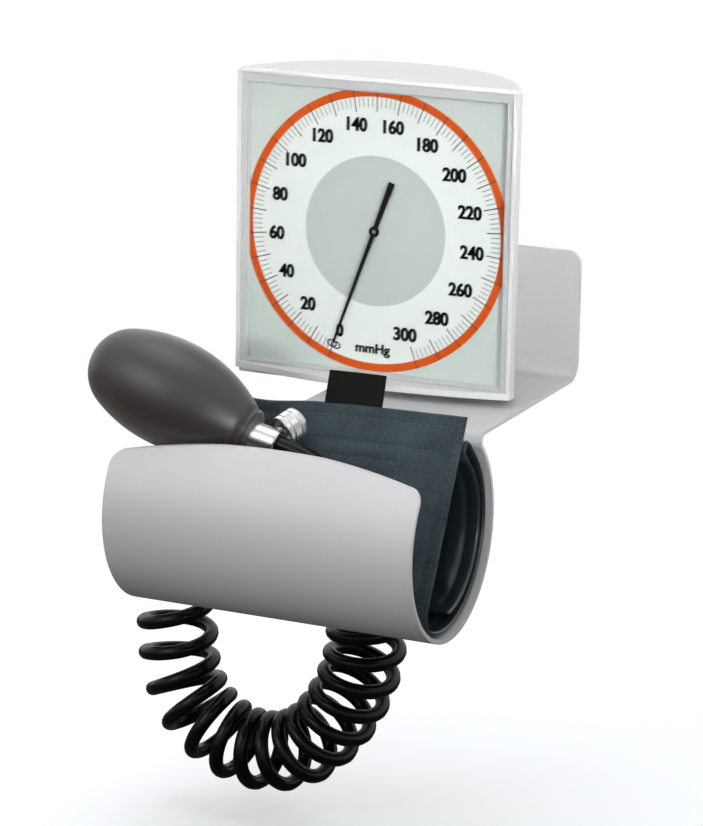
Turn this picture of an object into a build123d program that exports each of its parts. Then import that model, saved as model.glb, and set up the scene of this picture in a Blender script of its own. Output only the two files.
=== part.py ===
from build123d import *
import math
import os

os.makedirs("parts", exist_ok=True)

# A blood pressure gauge for a wall: a bent sheet bracket with a round basket, a square gauge head that
# swivels on the bracket's shelf, a rolled cuff with its bulb in the basket, and a coiled hose between them.
# X runs to the right, Y into the wall and Z up. The origin is the centre of the four screw holes, on the
# back face of the wall plate. All sizes are millimetres and all angles are degrees.

# The bent sheet of the bracket
SHEET = 2.0
BRACKET_WIDTH = 156.0
WALL_PLATE_TOP = 29.3
SHELF_TOP = -33.3
WALL_BEND = 8.0
NOSE_BEND = 2.8
BASKET_RADIUS = 47.1
BASKET_Y = -157.0
BASKET_Z = -76.0
FRONT_EDGE_TOP = -37.0
FRONT_EDGE_RADIUS = 380.0
SHEET_CORNER = 7.0
NOTCH_RIGHT = -20.0
NOTCH_BACK = -64.0
NOTCH_BOTTOM = -45.0
NOTCH_CORNER = 5.0

# The wall screws
SCREW_SPACING_X = 70.0
SCREW_SPACING_Z = 35.0
SCREW_HOLE_RADIUS = 2.75

# The gauge head
HINGE_Y = -56.0
HEAD_WIDTH = 145.2
HEAD_BOTTOM = -29.3
HEAD_TOP = 119.2
HEAD_FRONT = -79.0
HEAD_SIDE_DEPTH = 5.97
HEAD_BACK = -22.1
WALL = 2.2
RIM = 2.0
TOP_FILLET = 2.4
BASE_PLATE = 3.2
LIP_BULGE = 10.5
FRAME_RECESS = 0.6
FRAME_SIDE_BAND = 3.2
FRAME_TOP_BAND = 4.4
FRAME_BOTTOM_BAND = 1.6
WINDOW_LEDGE = 0.6
PANE = 1.5
PANE_PROUD = 0.2
DIAL_FACE = -76.0
DIAL_PLATE = 1.0
DIAL_Z = 45.0

# The hollow swivel bolt and what is on it
BOLT_RADIUS = 5.0
BOLT_HEAD_RADIUS = 9.0
BOLT_HEAD = 3.0
BOLT_BORE = 1.5
SPIGOT_RADIUS = 3.0
SPIGOT_LENGTH = 9.0
WASHER_RADIUS = 14.0
WAVE_WASHER = 1.4
NUT = 4.5
NUT_FLATS = 17.0
CAP_RADIUS = 5.5
BARB_RADIUS = 2.0
BARB_LENGTH = 8.0
INNER_BARB_LENGTH = 6.0
RUNNING_FIT = 0.05
AXIAL_GAP = 0.1

# The movement behind the dial
PLATE = 1.5
MOVEMENT_HALF_WIDTH = 28.0
MOVEMENT_TOP = 95.0
MOVEMENT_BOTTOM = 33.0
DIAL_POST_LENGTH = 3.0
PLATE_SPACE = 8.0
GEAR_MODULE = 0.5
PINION_TEETH = 10
SECTOR_TEETH_FULL = 120
POINTER_SWEEP = 320.0
SHAFT_RADIUS = 1.0
SECTOR_SHAFT_RADIUS = 1.5
TAIL_RADIUS = 8.0
LINK_THICKNESS = 1.2
LINK_PIN_RADIUS = 0.8
LINK_EYE_RADIUS = 1.2
CAPSULE_RADIUS = 17.0
CAPSULE_HEIGHT = 9.0
CAPSULE_BOTTOM = 27.0
BRACKET_SHELF_TOP = 24.5
STEM_RADIUS = 3.0
HOSE_INNER_DIAMETER = 7.0
SMALL_SCREW_RADIUS = 1.0
SMALL_SCREW_HEAD = 2.2

# The pointer, which rests on zero
POINTER_LENGTH = 60.0
POINTER_TAIL = 26.0
POINTER_TIP_WIDTH = 1.0
POINTER_TAIL_WIDTH = 3.0
POINTER_THICKNESS = 0.45
POINTER_FRONT = -77.5
HUB_RADIUS = 2.6
ZERO_ANGLE = 250.0

# The rolled cuff
CUFF_THICKNESS = 5.0
CUFF_LEFT = -76.0
CUFF_RIGHT = 75.5
CUFF_CLEARANCE = 0.4
CUFF_FRONT_BEND = 9.0
CUFF_FOLD_BEND = 3.2
CUFF_LAYER_STEP = 6.4
CUFF_REAR_ANGLE = 45.0
CUFF_REAR_RUN_LEFT = 5.0
CUFF_REAR_RUN_RIGHT = 10.5
CUFF_INNER_TURN = 130.0
FLAP_TOP_RIGHT = (-137.4, -23.5)
FLAP_TOP_LEFT = (-133.4, -27.2)
FLAP_ANGLE_RIGHT = 63.05
FLAP_ANGLE_LEFT = 60.8
BLADDER_THICKNESS = 1.4
BLADDER_LENGTH = 60.0
BLADDER_LEFT = 2.0
BLADDER_RIGHT = 66.0
BLADDER_START = 12.0
LABEL_WIDTH = 29.5
LABEL_LEFT = 2.3
LABEL_THICKNESS = 1.0
LABEL_HEIGHT = 15.1

# The bulb with its valve
BULB_TIP = (-103.0, -166.2, -8.1)
BULB_TILT = 19.3
BULB_LENGTH = 87.5
BULB_RADIUS = 25.4
BULB_CAP_RADIUS = 21.0
BULB_WIDEST = 42.0
BULB_SHOULDER = 74.0
BULB_NECK_START = 85.0
BULB_NECK_RADIUS = 9.5
BULB_WALL = 2.2
BULB_BORE = 2.5
INTAKE_RADIUS = 3.5
VALVE_TILT = 12.6
VALVE_RADIUS = 6.75
VALVE_LENGTH = 12.4
VALVE_RING_RADIUS = 7.0
VALVE_RING = 1.6
KNOB_AXIS = (0.439, 0.807, 0.394)
KNOB_DISTANCE = 8.5
KNOB_RADIUS = 7.25
KNOB_LENGTH = 10.5
KNOB_HOLLOW_RADIUS = 5.6
KNOB_HOLLOW = 4.0
VALVE_STEM_RADIUS = 3.2
NEEDLE_RADIUS = 1.5

# The hoses
HOSE_DIAMETER = 7.3
BULB_HOSE_DIAMETER = 8.5
CURL_RADIUS = 17.0
CURL_PHASE = -135.0
CURL_PITCH_LEFT = 18.0
CURL_PITCH_LOW = 13.2
CURL_PITCH_RIGHT = 13.2
FERRULE_RADIUS = 5.2
END_RUN = 9.0
CURL_LEAD_LEFT = 18.0
CURL_LEAD_RIGHT = 22.0


# Shapes that several pieces share

def save(name, shape):
    """Write one named piece."""
    export_step(shape, f"parts/{name}.step")


def unit(angle):
    """A step of one along an angle in a plane."""
    return math.cos(math.radians(angle)), math.sin(math.radians(angle))


def strip_outline(start, heading, moves, thickness):
    """Edge loop of a strip of even thickness, drawn flat, whose middle line makes runs and bends.

    A move is a run's length, or a bend's radius with its turn, where a left turn is positive.
    """
    x, y = start
    left, right = [], []

    def beside(px, py, angle, offset):
        c, s = unit(angle)
        return Vector(px - offset * s, py + offset * c)

    for move in moves:
        if len(move) == 1:
            c, s = unit(heading)
            nx, ny = x + move[0] * c, y + move[0] * s
            for side, offset in ((left, thickness / 2), (right, -thickness / 2)):
                side.append(Edge.make_line(beside(x, y, heading, offset), beside(nx, ny, heading, offset)))
            x, y = nx, ny
        else:
            radius, turn = move
            way = math.copysign(radius, turn)
            centre = beside(x, y, heading, way)
            for side, offset in ((left, thickness / 2), (right, -thickness / 2)):
                marks = [beside(centre.X, centre.Y, heading + turn * share, offset - way)
                         for share in (0, 0.5, 1)]
                side.append(Edge.make_three_point_arc(*marks))
            heading += turn
            end = beside(centre.X, centre.Y, heading, -way)
            x, y = end.X, end.Y
    caps = [Edge.make_line(left[0] @ 0, right[0] @ 0), Edge.make_line(left[-1] @ 1, right[-1] @ 1)]
    return Wire(left + right + caps)


def across(face, left, width):
    """Body of a face drawn in Y and Z, from the X of its left side over a width."""
    stand = Plane(origin=(left, 0, 0), x_dir=(0, 1, 0), z_dir=(1, 0, 0))
    return extrude(stand * face, amount=width, dir=(1, 0, 0))


def plate(face, front, thickness):
    """Body of a face drawn in X and Z, from the Y of its front backwards."""
    stand = Plane(origin=(0, front, 0), x_dir=(1, 0, 0), z_dir=(0, -1, 0))
    return extrude(stand * face, amount=thickness, dir=(0, 1, 0))


def upright(face, bottom, height):
    """Body of a face drawn in X and Y, from its bottom up."""
    return extrude(Pos(0, 0, bottom) * face, amount=height, dir=(0, 0, 1))


def pin(start, direction, length, radius):
    """Round rod from a point along a direction."""
    rod = Cylinder(radius, length, align=(Align.CENTER, Align.CENTER, Align.MIN))
    return Plane(origin=start, z_dir=direction) * rod


def tube(start, direction, length, radius, bore):
    """Round tube from a point along a direction."""
    return pin(start, direction, length, radius) - pin(start, direction, length, bore)


def turned(points):
    """Round body about Z from an outline of radius and height."""
    outline = Polyline(*[(r, 0, h) for r, h in points], close=True)
    return revolve(make_face(outline), axis=Axis.Z)


def box(left, right, front, back, bottom, top):
    """Block between two corners."""
    block = Box(right - left, back - front, top - bottom)
    return Pos((left + right) / 2, (front + back) / 2, (bottom + top) / 2) * block


def rounded_block(width, low, high, corner):
    """Upright rectangle about X = 0 with rounded corners."""
    return Pos(0, (low + high) / 2) * RectangleRounded(width, high - low, corner)


def corner_radii(points):
    """Arc radius at each corner of a hose's route, as large as its two runs allow."""
    radii = []
    for before, corner, after in zip(points, points[1:], points[2:]):
        into, out = Vector(corner) - Vector(before), Vector(after) - Vector(corner)
        shorter = min(into.length, out.length)
        radii.append(0.45 * shorter / math.tan(math.radians(into.get_angle(out)) / 2))
    return radii


def hose_tube(points, diameter, bore=0.0):
    """Hose along straight runs joined by tangent arcs."""
    radii = corner_radii(points)
    print("hose radii", [round(radius, 1) for radius in radii])
    path = FilletPolyline(*points, radius=radii)
    section = Circle(diameter / 2)
    if bore:
        section -= Circle(bore / 2)
    body = sweep(Plane(origin=path @ 0, z_dir=path % 0) * section, path=path)
    print("hose volume share", round(body.volume / (section.area * path.length), 4))
    return body


# The bracket: wall plate, shelf, nose and basket are one sheet

nose_z = SHELF_TOP - SHEET - NOSE_BEND
nose_to_basket = NOSE_BEND + SHEET + BASKET_RADIUS
nose_y = BASKET_Y + math.sqrt(nose_to_basket**2 - (nose_z - BASKET_Z) ** 2)
nose_angle = math.degrees(math.atan2(nose_z - BASKET_Z, nose_y - BASKET_Y))
edge_angle = math.degrees(math.asin((FRONT_EDGE_TOP - BASKET_Z) / (BASKET_RADIUS + SHEET / 2)))
wall_bend = WALL_BEND + SHEET / 2
sheet_moves = [
    (WALL_PLATE_TOP - SHELF_TOP - WALL_BEND,),
    (wall_bend, -90),
    (-SHEET - WALL_BEND - nose_y,),
    (NOSE_BEND + SHEET / 2, 90 + nose_angle),
    (BASKET_RADIUS + SHEET / 2, -(180 + nose_angle + edge_angle)),
]
sheet_face = Face(strip_outline((-SHEET / 2, WALL_PLATE_TOP), -90, sheet_moves, SHEET))
half_bracket = BRACKET_WIDTH / 2
bracket = across(sheet_face, -half_bracket, BRACKET_WIDTH)

plate_corners = box(-half_bracket, half_bracket, -SHEET, 0, 0, WALL_PLATE_TOP)
plate_outline = rounded_block(BRACKET_WIDTH, -WALL_PLATE_TOP, WALL_PLATE_TOP, SHEET_CORNER)
plate_corners -= plate(plate_outline, -SHEET, SHEET)
bracket -= plate_corners

front_reach = BASKET_RADIUS + SHEET
edge_drop = FRONT_EDGE_RADIUS - math.sqrt(FRONT_EDGE_RADIUS**2 - half_bracket**2)
edge_corner = FRONT_EDGE_TOP - edge_drop
edge_outline = [
    Line((-half_bracket, edge_corner), (-half_bracket, BASKET_Z)),
    Line((-half_bracket, BASKET_Z), (half_bracket, BASKET_Z)),
    Line((half_bracket, BASKET_Z), (half_bracket, edge_corner)),
    ThreePointArc((half_bracket, edge_corner), (0, FRONT_EDGE_TOP), (-half_bracket, edge_corner)),
]
edge_face = make_face(edge_outline)
edge_face = fillet(edge_face.vertices().sort_by(Axis.Y)[-2:], SHEET_CORNER)
front_y = BASKET_Y - front_reach
front_trim = box(-half_bracket, half_bracket, front_y, BASKET_Y, BASKET_Z, SHELF_TOP)
front_trim -= plate(edge_face, front_y, front_reach)
bracket -= front_trim

notch_left = -half_bracket - NOTCH_CORNER
notch = box(notch_left, NOTCH_RIGHT, BASKET_Y + BASKET_RADIUS / 2, NOTCH_BACK, NOTCH_BOTTOM, SHELF_TOP)
notch_edges = notch.edges().filter_by(Axis.Z).sort_by(Axis.Y)[-2:]
bracket -= fillet(notch_edges, NOTCH_CORNER)

screw_places = [(x, z) for x in (-SCREW_SPACING_X / 2, SCREW_SPACING_X / 2)
                for z in (-SCREW_SPACING_Z / 2, SCREW_SPACING_Z / 2)]
for x, z in screw_places:
    bracket -= pin((x, -SHEET, z), (0, 1, 0), SHEET, SCREW_HOLE_RADIUS)
bracket -= pin((0, HINGE_Y, SHELF_TOP - SHEET), (0, 0, 1), SHEET, BOLT_RADIUS + RUNNING_FIT)
save("bracket_sheet", bracket)

# The swivel: a hollow bolt carries air from the hose below the shelf to a cap that turns with the head

base_top = HEAD_BOTTOM + BASE_PLATE
washer_height = HEAD_BOTTOM - SHELF_TOP - AXIAL_GAP
wave_bottom = base_top + AXIAL_GAP
nut_bottom = wave_bottom + WAVE_WASHER
shank_top = nut_bottom + NUT
spigot_top = shank_top + SPIGOT_LENGTH
bolt_head_bottom = SHELF_TOP - SHEET - BOLT_HEAD
barb_bottom = bolt_head_bottom - BARB_LENGTH
ring_groove = 1.0
ring_middle = shank_top + SPIGOT_LENGTH / 2

bolt = turned([
    (BOLT_BORE, barb_bottom), (BARB_RADIUS, barb_bottom), (BARB_RADIUS, bolt_head_bottom),
    (BOLT_HEAD_RADIUS, bolt_head_bottom), (BOLT_HEAD_RADIUS, SHELF_TOP - SHEET),
    (BOLT_RADIUS, SHELF_TOP - SHEET), (BOLT_RADIUS, shank_top), (SPIGOT_RADIUS, shank_top),
    (SPIGOT_RADIUS, ring_middle - ring_groove), (SPIGOT_RADIUS - ring_groove, ring_middle - ring_groove),
    (SPIGOT_RADIUS - ring_groove, ring_middle + ring_groove), (SPIGOT_RADIUS, ring_middle + ring_groove),
    (SPIGOT_RADIUS, spigot_top), (BOLT_BORE, spigot_top),
])
save("pivot_bolt", Pos(0, HINGE_Y) * bolt)

seal = Torus(SPIGOT_RADIUS - ring_groove / 2, ring_groove / 2)
save("seal_ring", Pos(0, HINGE_Y, ring_middle) * seal)

shelf_point = (0, HINGE_Y, SHELF_TOP)
bolt_hole = BOLT_RADIUS + RUNNING_FIT
save("pivot_washer", tube(shelf_point, (0, 0, 1), washer_height, WASHER_RADIUS, bolt_hole))

wave_turns = 3
wave_height = 0.35
wave = tube((0, HINGE_Y, wave_bottom), (0, 0, 1), WAVE_WASHER, BOLT_HEAD_RADIUS, bolt_hole)
for index in range(wave_turns):
    turn = 360 / wave_turns * index
    dip = Cylinder(BOLT_HEAD_RADIUS, 2 * BOLT_HEAD_RADIUS, align=(Align.CENTER, Align.CENTER, Align.MIN))
    for low, angle in ((wave_bottom + wave_height - BOLT_HEAD_RADIUS, turn),
                       (nut_bottom - wave_height + BOLT_HEAD_RADIUS, turn + 180 / wave_turns)):
        wave -= Pos(0, HINGE_Y, low) * Rot(0, 0, angle) * Rot(0, 90, 0) * dip
save("wave_washer", wave)

nut = upright(RegularPolygon(NUT_FLATS / 2, 6, major_radius=False), nut_bottom, NUT)
nut -= pin((0, 0, nut_bottom), (0, 0, 1), NUT, BOLT_RADIUS)
save("pivot_nut", Pos(0, HINGE_Y) * nut)

cap_gap = 0.5
cap_bottom = shank_top + cap_gap
cap_top = spigot_top + cap_gap + WALL
cap_roof = spigot_top + cap_gap
cap_bore = SPIGOT_RADIUS + RUNNING_FIT
barb_end = cap_top + INNER_BARB_LENGTH
cap = turned([
    (cap_bore, cap_bottom), (CAP_RADIUS, cap_bottom), (CAP_RADIUS, cap_top), (BARB_RADIUS, cap_top),
    (BARB_RADIUS, barb_end), (BOLT_BORE, barb_end), (BOLT_BORE, cap_roof), (cap_bore, cap_roof),
])
save("swivel_cap", Pos(0, HINGE_Y) * cap)

# The head's housing: a round backed shell with a flat top, closed below by the base plate

half_head = HEAD_WIDTH / 2
back_sag = HEAD_BACK - HEAD_FRONT - HEAD_SIDE_DEPTH
back_radius = (half_head**2 + back_sag**2) / (2 * back_sag)
arc_centre = HEAD_BACK - back_radius


def head_plan(inset, front):
    """Plan of the housing, drawn in by an inset, from a front line to the round back."""
    half = half_head - inset
    radius = back_radius - inset
    shoulder = arc_centre + math.sqrt(radius**2 - half**2)
    back = ThreePointArc((half, shoulder), (0, arc_centre + radius), (-half, shoulder))
    return [Line((-half, shoulder), (-half, front)), Line((half, front), (half, shoulder)), back]


def head_face(inset, front):
    """Closed plan of the housing with a straight front."""
    half = half_head - inset
    return make_face(head_plan(inset, front) + [Line((-half, front), (half, front))])


dial_back = DIAL_FACE + DIAL_PLATE
shell = upright(head_face(0, HEAD_FRONT), base_top, HEAD_TOP - base_top)
shell = fillet(shell.faces().sort_by(Axis.Z)[-1].edges(), TOP_FILLET)
shell -= upright(head_face(WALL, HEAD_FRONT), base_top, HEAD_TOP - WALL - base_top)
half_rebate = half_head - RIM
rebate_top = HEAD_TOP - RIM
shell -= box(-half_rebate, half_rebate, HEAD_FRONT, dial_back, base_top, rebate_top)
boss_radius = 3.5
boss_height = 12.0
boss_sink = 0.8
inner_radius = back_radius - WALL
boss_front_y = dial_back + boss_radius
inner_side = min(half_head - WALL, math.sqrt(inner_radius**2 - (boss_front_y - arc_centre) ** 2))
boss_front_x = inner_side + boss_sink - boss_radius
boss_back_x = 30.0
boss_back_y = arc_centre + math.sqrt(inner_radius**2 - boss_back_x**2) - boss_radius
boss_places = [(side * x, y) for side in (-1, 1)
               for x, y in ((boss_front_x, boss_front_y), (boss_back_x, boss_back_y))]
for x, y in boss_places:
    shell += pin((x, y, base_top), (0, 0, 1), boss_height, boss_radius)
    shell -= pin((x, y, base_top), (0, 0, 1), boss_height - WALL, SMALL_SCREW_RADIUS)
save("rear_shell", shell)

plan = head_plan(0, HEAD_FRONT)
lip = ThreePointArc((-half_head, HEAD_FRONT), (0, HEAD_FRONT - LIP_BULGE), (half_head, HEAD_FRONT))
base = upright(make_face(plan + [lip]), HEAD_BOTTOM, BASE_PLATE)
base -= pin((0, HINGE_Y, HEAD_BOTTOM), (0, 0, 1), BASE_PLATE, bolt_hole)
screw_head_depth = 1.4
base_screws = []
for x, y in boss_places:
    base -= pin((x, y, HEAD_BOTTOM), (0, 0, 1), BASE_PLATE, SMALL_SCREW_RADIUS + RUNNING_FIT)
    base -= pin((x, y, HEAD_BOTTOM), (0, 0, 1), screw_head_depth, SMALL_SCREW_HEAD)
    screw = pin((x, y, HEAD_BOTTOM), (0, 0, 1), screw_head_depth, SMALL_SCREW_HEAD)
    screw += pin((x, y, HEAD_BOTTOM), (0, 0, 1), boss_height - WALL, SMALL_SCREW_RADIUS)
    base_screws.append(screw)
save("base_plate", base)
save("base_screws", Compound(base_screws))

frame_gap = 0.1
frame_front = HEAD_FRONT + FRAME_RECESS
frame_width = 2 * half_rebate - 2 * frame_gap
frame_low = base_top + frame_gap
frame_high = rebate_top - frame_gap
window_width = frame_width - 2 * FRAME_SIDE_BAND
window_low = frame_low + FRAME_BOTTOM_BAND
window_high = frame_high - FRAME_TOP_BAND
window_height = window_high - window_low
frame_middle = (frame_low + frame_high) / 2
window_middle = (window_low + window_high) / 2
pane_front = HEAD_FRONT - PANE_PROUD
pane_back = pane_front + PANE


def framed(opening_width, opening_height, front, thickness):
    """Flat square frame about an opening."""
    face = Pos(0, frame_middle) * Rectangle(frame_width, frame_high - frame_low)
    face -= Pos(0, window_middle) * Rectangle(opening_width, opening_height)
    return plate(face, front, thickness)


frame = framed(window_width, window_height, frame_front, pane_back - frame_front)
ledge = 2 * WINDOW_LEDGE
frame += framed(window_width - ledge, window_height - ledge, pane_back, DIAL_FACE - pane_back)
save("window_frame", frame)

pane_face = Pos(0, window_middle) * Rectangle(window_width - 2 * frame_gap, window_height - 2 * frame_gap)
pane = plate(pane_face, pane_front, PANE)
pane_bevel = 0.4
pane = chamfer(pane.faces().sort_by(Axis.Y)[0].edges(), pane_bevel)
save("window_pane", pane)

dial_face = Pos(0, frame_middle) * Rectangle(frame_width, frame_high - frame_low)
dial = plate(dial_face, DIAL_FACE, DIAL_PLATE)
dial -= pin((0, DIAL_FACE, DIAL_Z), (0, 1, 0), DIAL_PLATE, 2 * SHAFT_RADIUS)
save("dial_plate", dial)

# The movement: two plates with pillars carry the pinion, the toothed sector and the capsule

plate_front = dial_back + DIAL_POST_LENGTH
plate_back = plate_front + PLATE
bridge_front = plate_back + PLATE_SPACE
bridge_back = bridge_front + PLATE
pinion_radius = GEAR_MODULE * PINION_TEETH / 2
sector_radius = GEAR_MODULE * SECTOR_TEETH_FULL / 2
sector_z = DIAL_Z + pinion_radius + sector_radius
gear_ratio = SECTOR_TEETH_FULL / PINION_TEETH
sector_sweep = POINTER_SWEEP / gear_ratio
pillar_radius = 2.5
pillar_inset = 6.0
pillar_x = MOVEMENT_HALF_WIDTH - pillar_inset
pillar_places = [(side * pillar_x, z) for side in (-1, 1)
                 for z in (MOVEMENT_BOTTOM + pillar_inset, MOVEMENT_TOP - pillar_inset)]
post_places = [(-pillar_x, sector_z - sector_radius / 2), (pillar_x, sector_z - sector_radius / 2),
               (0, MOVEMENT_TOP - pillar_inset)]
movement_width = 2 * MOVEMENT_HALF_WIDTH
plate_corner = 4.0

movement_face = rounded_block(movement_width, MOVEMENT_BOTTOM, MOVEMENT_TOP, plate_corner)
movement = plate(movement_face, plate_front, PLATE)
movement -= pin((0, plate_front, DIAL_Z), (0, 1, 0), PLATE, SHAFT_RADIUS + RUNNING_FIT)
movement -= pin((0, plate_front, sector_z), (0, 1, 0), PLATE, SECTOR_SHAFT_RADIUS + RUNNING_FIT)
for x, z in pillar_places + post_places:
    movement -= pin((x, plate_front, z), (0, 1, 0), PLATE, SMALL_SCREW_RADIUS)
save("movement_plate", movement)

angle_height = 12.0
bridge_bottom = BRACKET_SHELF_TOP - angle_height
bridge = plate(movement_face, bridge_front, PLATE)
tongue_half = 13.0
bridge += box(-tongue_half, tongue_half, bridge_front, bridge_back, bridge_bottom, MOVEMENT_BOTTOM)
bridge -= pin((0, bridge_front, DIAL_Z), (0, 1, 0), PLATE, SHAFT_RADIUS + RUNNING_FIT)
bridge -= pin((0, bridge_front, sector_z), (0, 1, 0), PLATE, SECTOR_SHAFT_RADIUS + RUNNING_FIT)
for x, z in pillar_places:
    bridge -= pin((x, bridge_front, z), (0, 1, 0), PLATE, SMALL_SCREW_RADIUS + RUNNING_FIT)
tongue_screw_z = bridge_bottom + angle_height / 3
tongue_screws = [(-tongue_half / 2, tongue_screw_z), (tongue_half / 2, tongue_screw_z)]
for x, z in tongue_screws:
    bridge -= pin((x, bridge_front, z), (0, 1, 0), PLATE, SMALL_SCREW_RADIUS)
save("bridge_plate", bridge)

pillars = [tube((x, plate_back, z), (0, 1, 0), PLATE_SPACE, pillar_radius, SMALL_SCREW_RADIUS + RUNNING_FIT)
           for x, z in pillar_places]
save("pillars", Compound(pillars))
dial_posts = [pin((x, dial_back, z), (0, 1, 0), DIAL_POST_LENGTH, pillar_radius)
              + pin((x, plate_front, z), (0, 1, 0), PLATE, SMALL_SCREW_RADIUS) for x, z in post_places]
save("dial_posts", Compound(dial_posts))
pillar_screw_length = PLATE_SPACE + 2 * PLATE
screw_head = 1.4


def plate_screw(x, head_y, z, length):
    """Small screw driven forwards from the back of a plate."""
    return (pin((x, head_y, z), (0, 1, 0), screw_head, SMALL_SCREW_HEAD)
            + pin((x, head_y - length, z), (0, 1, 0), length, SMALL_SCREW_RADIUS))


pillar_screws = [plate_screw(x, bridge_back, z, pillar_screw_length) for x, z in pillar_places]
save("pillar_screws", Compound(pillar_screws))


tooth_addendum = 0.7 * GEAR_MODULE
tooth_dedendum = GEAR_MODULE
root_half = 0.72 * GEAR_MODULE
tip_half = 0.26 * GEAR_MODULE


def toothed(teeth, first, count, root, tip):
    """Points of a run of teeth about the centre, from the angle of the first tooth's middle."""
    points = []
    for index in range(count):
        middle = math.radians(first + index * 360 / teeth)
        for radius, half in ((root, -root_half), (tip, -tip_half), (tip, tip_half), (root, root_half)):
            angle = middle + half / radius
            points.append((radius * math.cos(angle), radius * math.sin(angle)))
    return points


pinion_root = pinion_radius - tooth_dedendum
pinion_tip = pinion_radius + tooth_addendum
sector_root = sector_radius - tooth_dedendum
sector_tip = sector_radius + tooth_addendum
pinion_width = 4.0
pinion_front = plate_back + (PLATE_SPACE - pinion_width) / 2 - 0.8
pinion_step = 360 / PINION_TEETH
pinion_points = toothed(PINION_TEETH, 90 + pinion_step / 2, PINION_TEETH, pinion_root, pinion_tip)
pinion = plate(Pos(0, DIAL_Z) * make_face(Polyline(*pinion_points, close=True)), pinion_front, pinion_width)
shaft_front = POINTER_FRONT + POINTER_THICKNESS / 2
shaft_back = bridge_back + 0.5
pinion += pin((0, shaft_front, DIAL_Z), (0, 1, 0), shaft_back - shaft_front, SHAFT_RADIUS)
save("pinion_shaft", pinion)

sector_spare = 7.5
sector_step = 360 / SECTOR_TEETH_FULL
spare_teeth = round(sector_spare / sector_step)
sector_count = round(sector_sweep / sector_step) + 2 * spare_teeth + 1
sector_first = -90 + (spare_teeth - sector_count + 1) * sector_step
sector_points = toothed(SECTOR_TEETH_FULL, sector_first, sector_count, sector_root, sector_tip)
sector_hub = 4.0
sector_face = make_face(Polyline((0, 0), *sector_points, close=True)) + Circle(sector_hub)
window_inner, window_outer = 11.0, sector_root - 5.0
window_half = (sector_count - 1) * sector_step / 2 - 5.0
window_mid = sector_first + (sector_count - 1) * sector_step / 2


def sector_mark(radius, share):
    """Point of the cut-out of the sector at a radius and a share of its half width."""
    c, s = unit(window_mid + share * window_half)
    return radius * c, radius * s


lightening = make_face([
    ThreePointArc(*[sector_mark(window_inner, share) for share in (-1, 0, 1)]),
    Line(sector_mark(window_inner, 1), sector_mark(window_outer, 1)),
    ThreePointArc(*[sector_mark(window_outer, share) for share in (1, 0, -1)]),
    Line(sector_mark(window_outer, -1), sector_mark(window_inner, -1)),
])
sector_face -= lightening
sector_front = pinion_front + (pinion_width - PLATE) / 2
sector = plate(Pos(0, sector_z) * sector_face, sector_front, PLATE)
hub_gap = 0.6
sector += pin((0, plate_back + hub_gap, sector_z), (0, 1, 0), PLATE_SPACE - 2 * hub_gap, sector_hub)
sector -= pin((0, plate_back, sector_z), (0, 1, 0), PLATE_SPACE, SECTOR_SHAFT_RADIUS)
save("sector_gear", sector)

# The rocker arm behind the bridge turns the capsule's small lift into the sector's turn

half_sweep = sector_sweep / 2
link_x = TAIL_RADIUS * (1 + unit(half_sweep)[0]) / 2
capsule_y = -43.7
link_front = capsule_y - LINK_THICKNESS / 2
arm_gap = 0.3
arm_thickness = 2.0
arm_front = link_front - arm_gap - arm_thickness
sector_shaft_length = arm_front + arm_thickness - plate_front
sector_shaft = pin((0, plate_front, sector_z), (0, 1, 0), sector_shaft_length, SECTOR_SHAFT_RADIUS)
save("sector_shaft", sector_shaft)

arm_half_width = 2.0
arm_c, arm_s = unit(-half_sweep)
arm_face = Circle(sector_hub) + Pos(TAIL_RADIUS * arm_c, TAIL_RADIUS * arm_s) * Circle(arm_half_width)
arm_face += Rot(0, 0, -half_sweep) * Pos(TAIL_RADIUS / 2, 0) * Rectangle(TAIL_RADIUS, 2 * arm_half_width)
arm = plate(Pos(0, sector_z) * arm_face, arm_front, arm_thickness)
pin_rest = (TAIL_RADIUS * arm_c, arm_front, sector_z + TAIL_RADIUS * arm_s)
pin_length = arm_thickness + arm_gap + LINK_THICKNESS + arm_gap
arm += pin(pin_rest, (0, 1, 0), pin_length, LINK_PIN_RADIUS)
arm -= pin((0, arm_front, sector_z), (0, 1, 0), arm_thickness, SECTOR_SHAFT_RADIUS)
save("rocker_arm", arm)

capsule_top = CAPSULE_BOTTOM + CAPSULE_HEIGHT
boss_gap = 0.3
boss_base = capsule_top + boss_gap
boss_disc = 2.0
fork_height = 8.0
fork_half = 3.0
link_low = boss_base + boss_disc + fork_height - fork_half
link_high = pin_rest[2]
link_half_width = 2.2
link_slot = SlotCenterToCenter(link_high - link_low, 2 * link_half_width, rotation=90)
link_face = Pos(link_x, (link_low + link_high) / 2) * link_slot
link = plate(link_face, link_front, LINK_THICKNESS)
link -= pin((link_x, link_front, link_high), (0, 1, 0), LINK_THICKNESS, LINK_EYE_RADIUS)
link -= pin((link_x, link_front, link_low), (0, 1, 0), LINK_THICKNESS, LINK_PIN_RADIUS)
save("lift_link", link)

cheek_gap = 0.1
cheek = 1.4
boss = pin((link_x, capsule_y, boss_base), (0, 0, 1), boss_disc, sector_hub + 0.5)
fork_bottom = boss_base + boss_disc
for side in (-1, 1):
    inner = side * (LINK_THICKNESS / 2 + cheek_gap)
    outer = inner + side * cheek
    low_y, high_y = sorted((capsule_y + inner, capsule_y + outer))
    boss += box(link_x - fork_half, link_x + fork_half, low_y, high_y, fork_bottom, fork_bottom + fork_height)
fork_reach = LINK_THICKNESS / 2 + cheek_gap + cheek
boss -= pin((link_x, capsule_y - fork_reach, link_low), (0, 1, 0), 2 * fork_reach, LINK_PIN_RADIUS)
save("capsule_boss", boss)
save("link_pin", pin((link_x, capsule_y - fork_reach, link_low), (0, 1, 0), 2 * fork_reach, LINK_PIN_RADIUS))

# The pressure capsule: two ribbed metal discs joined at the rim, on an angle below the bridge

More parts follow.
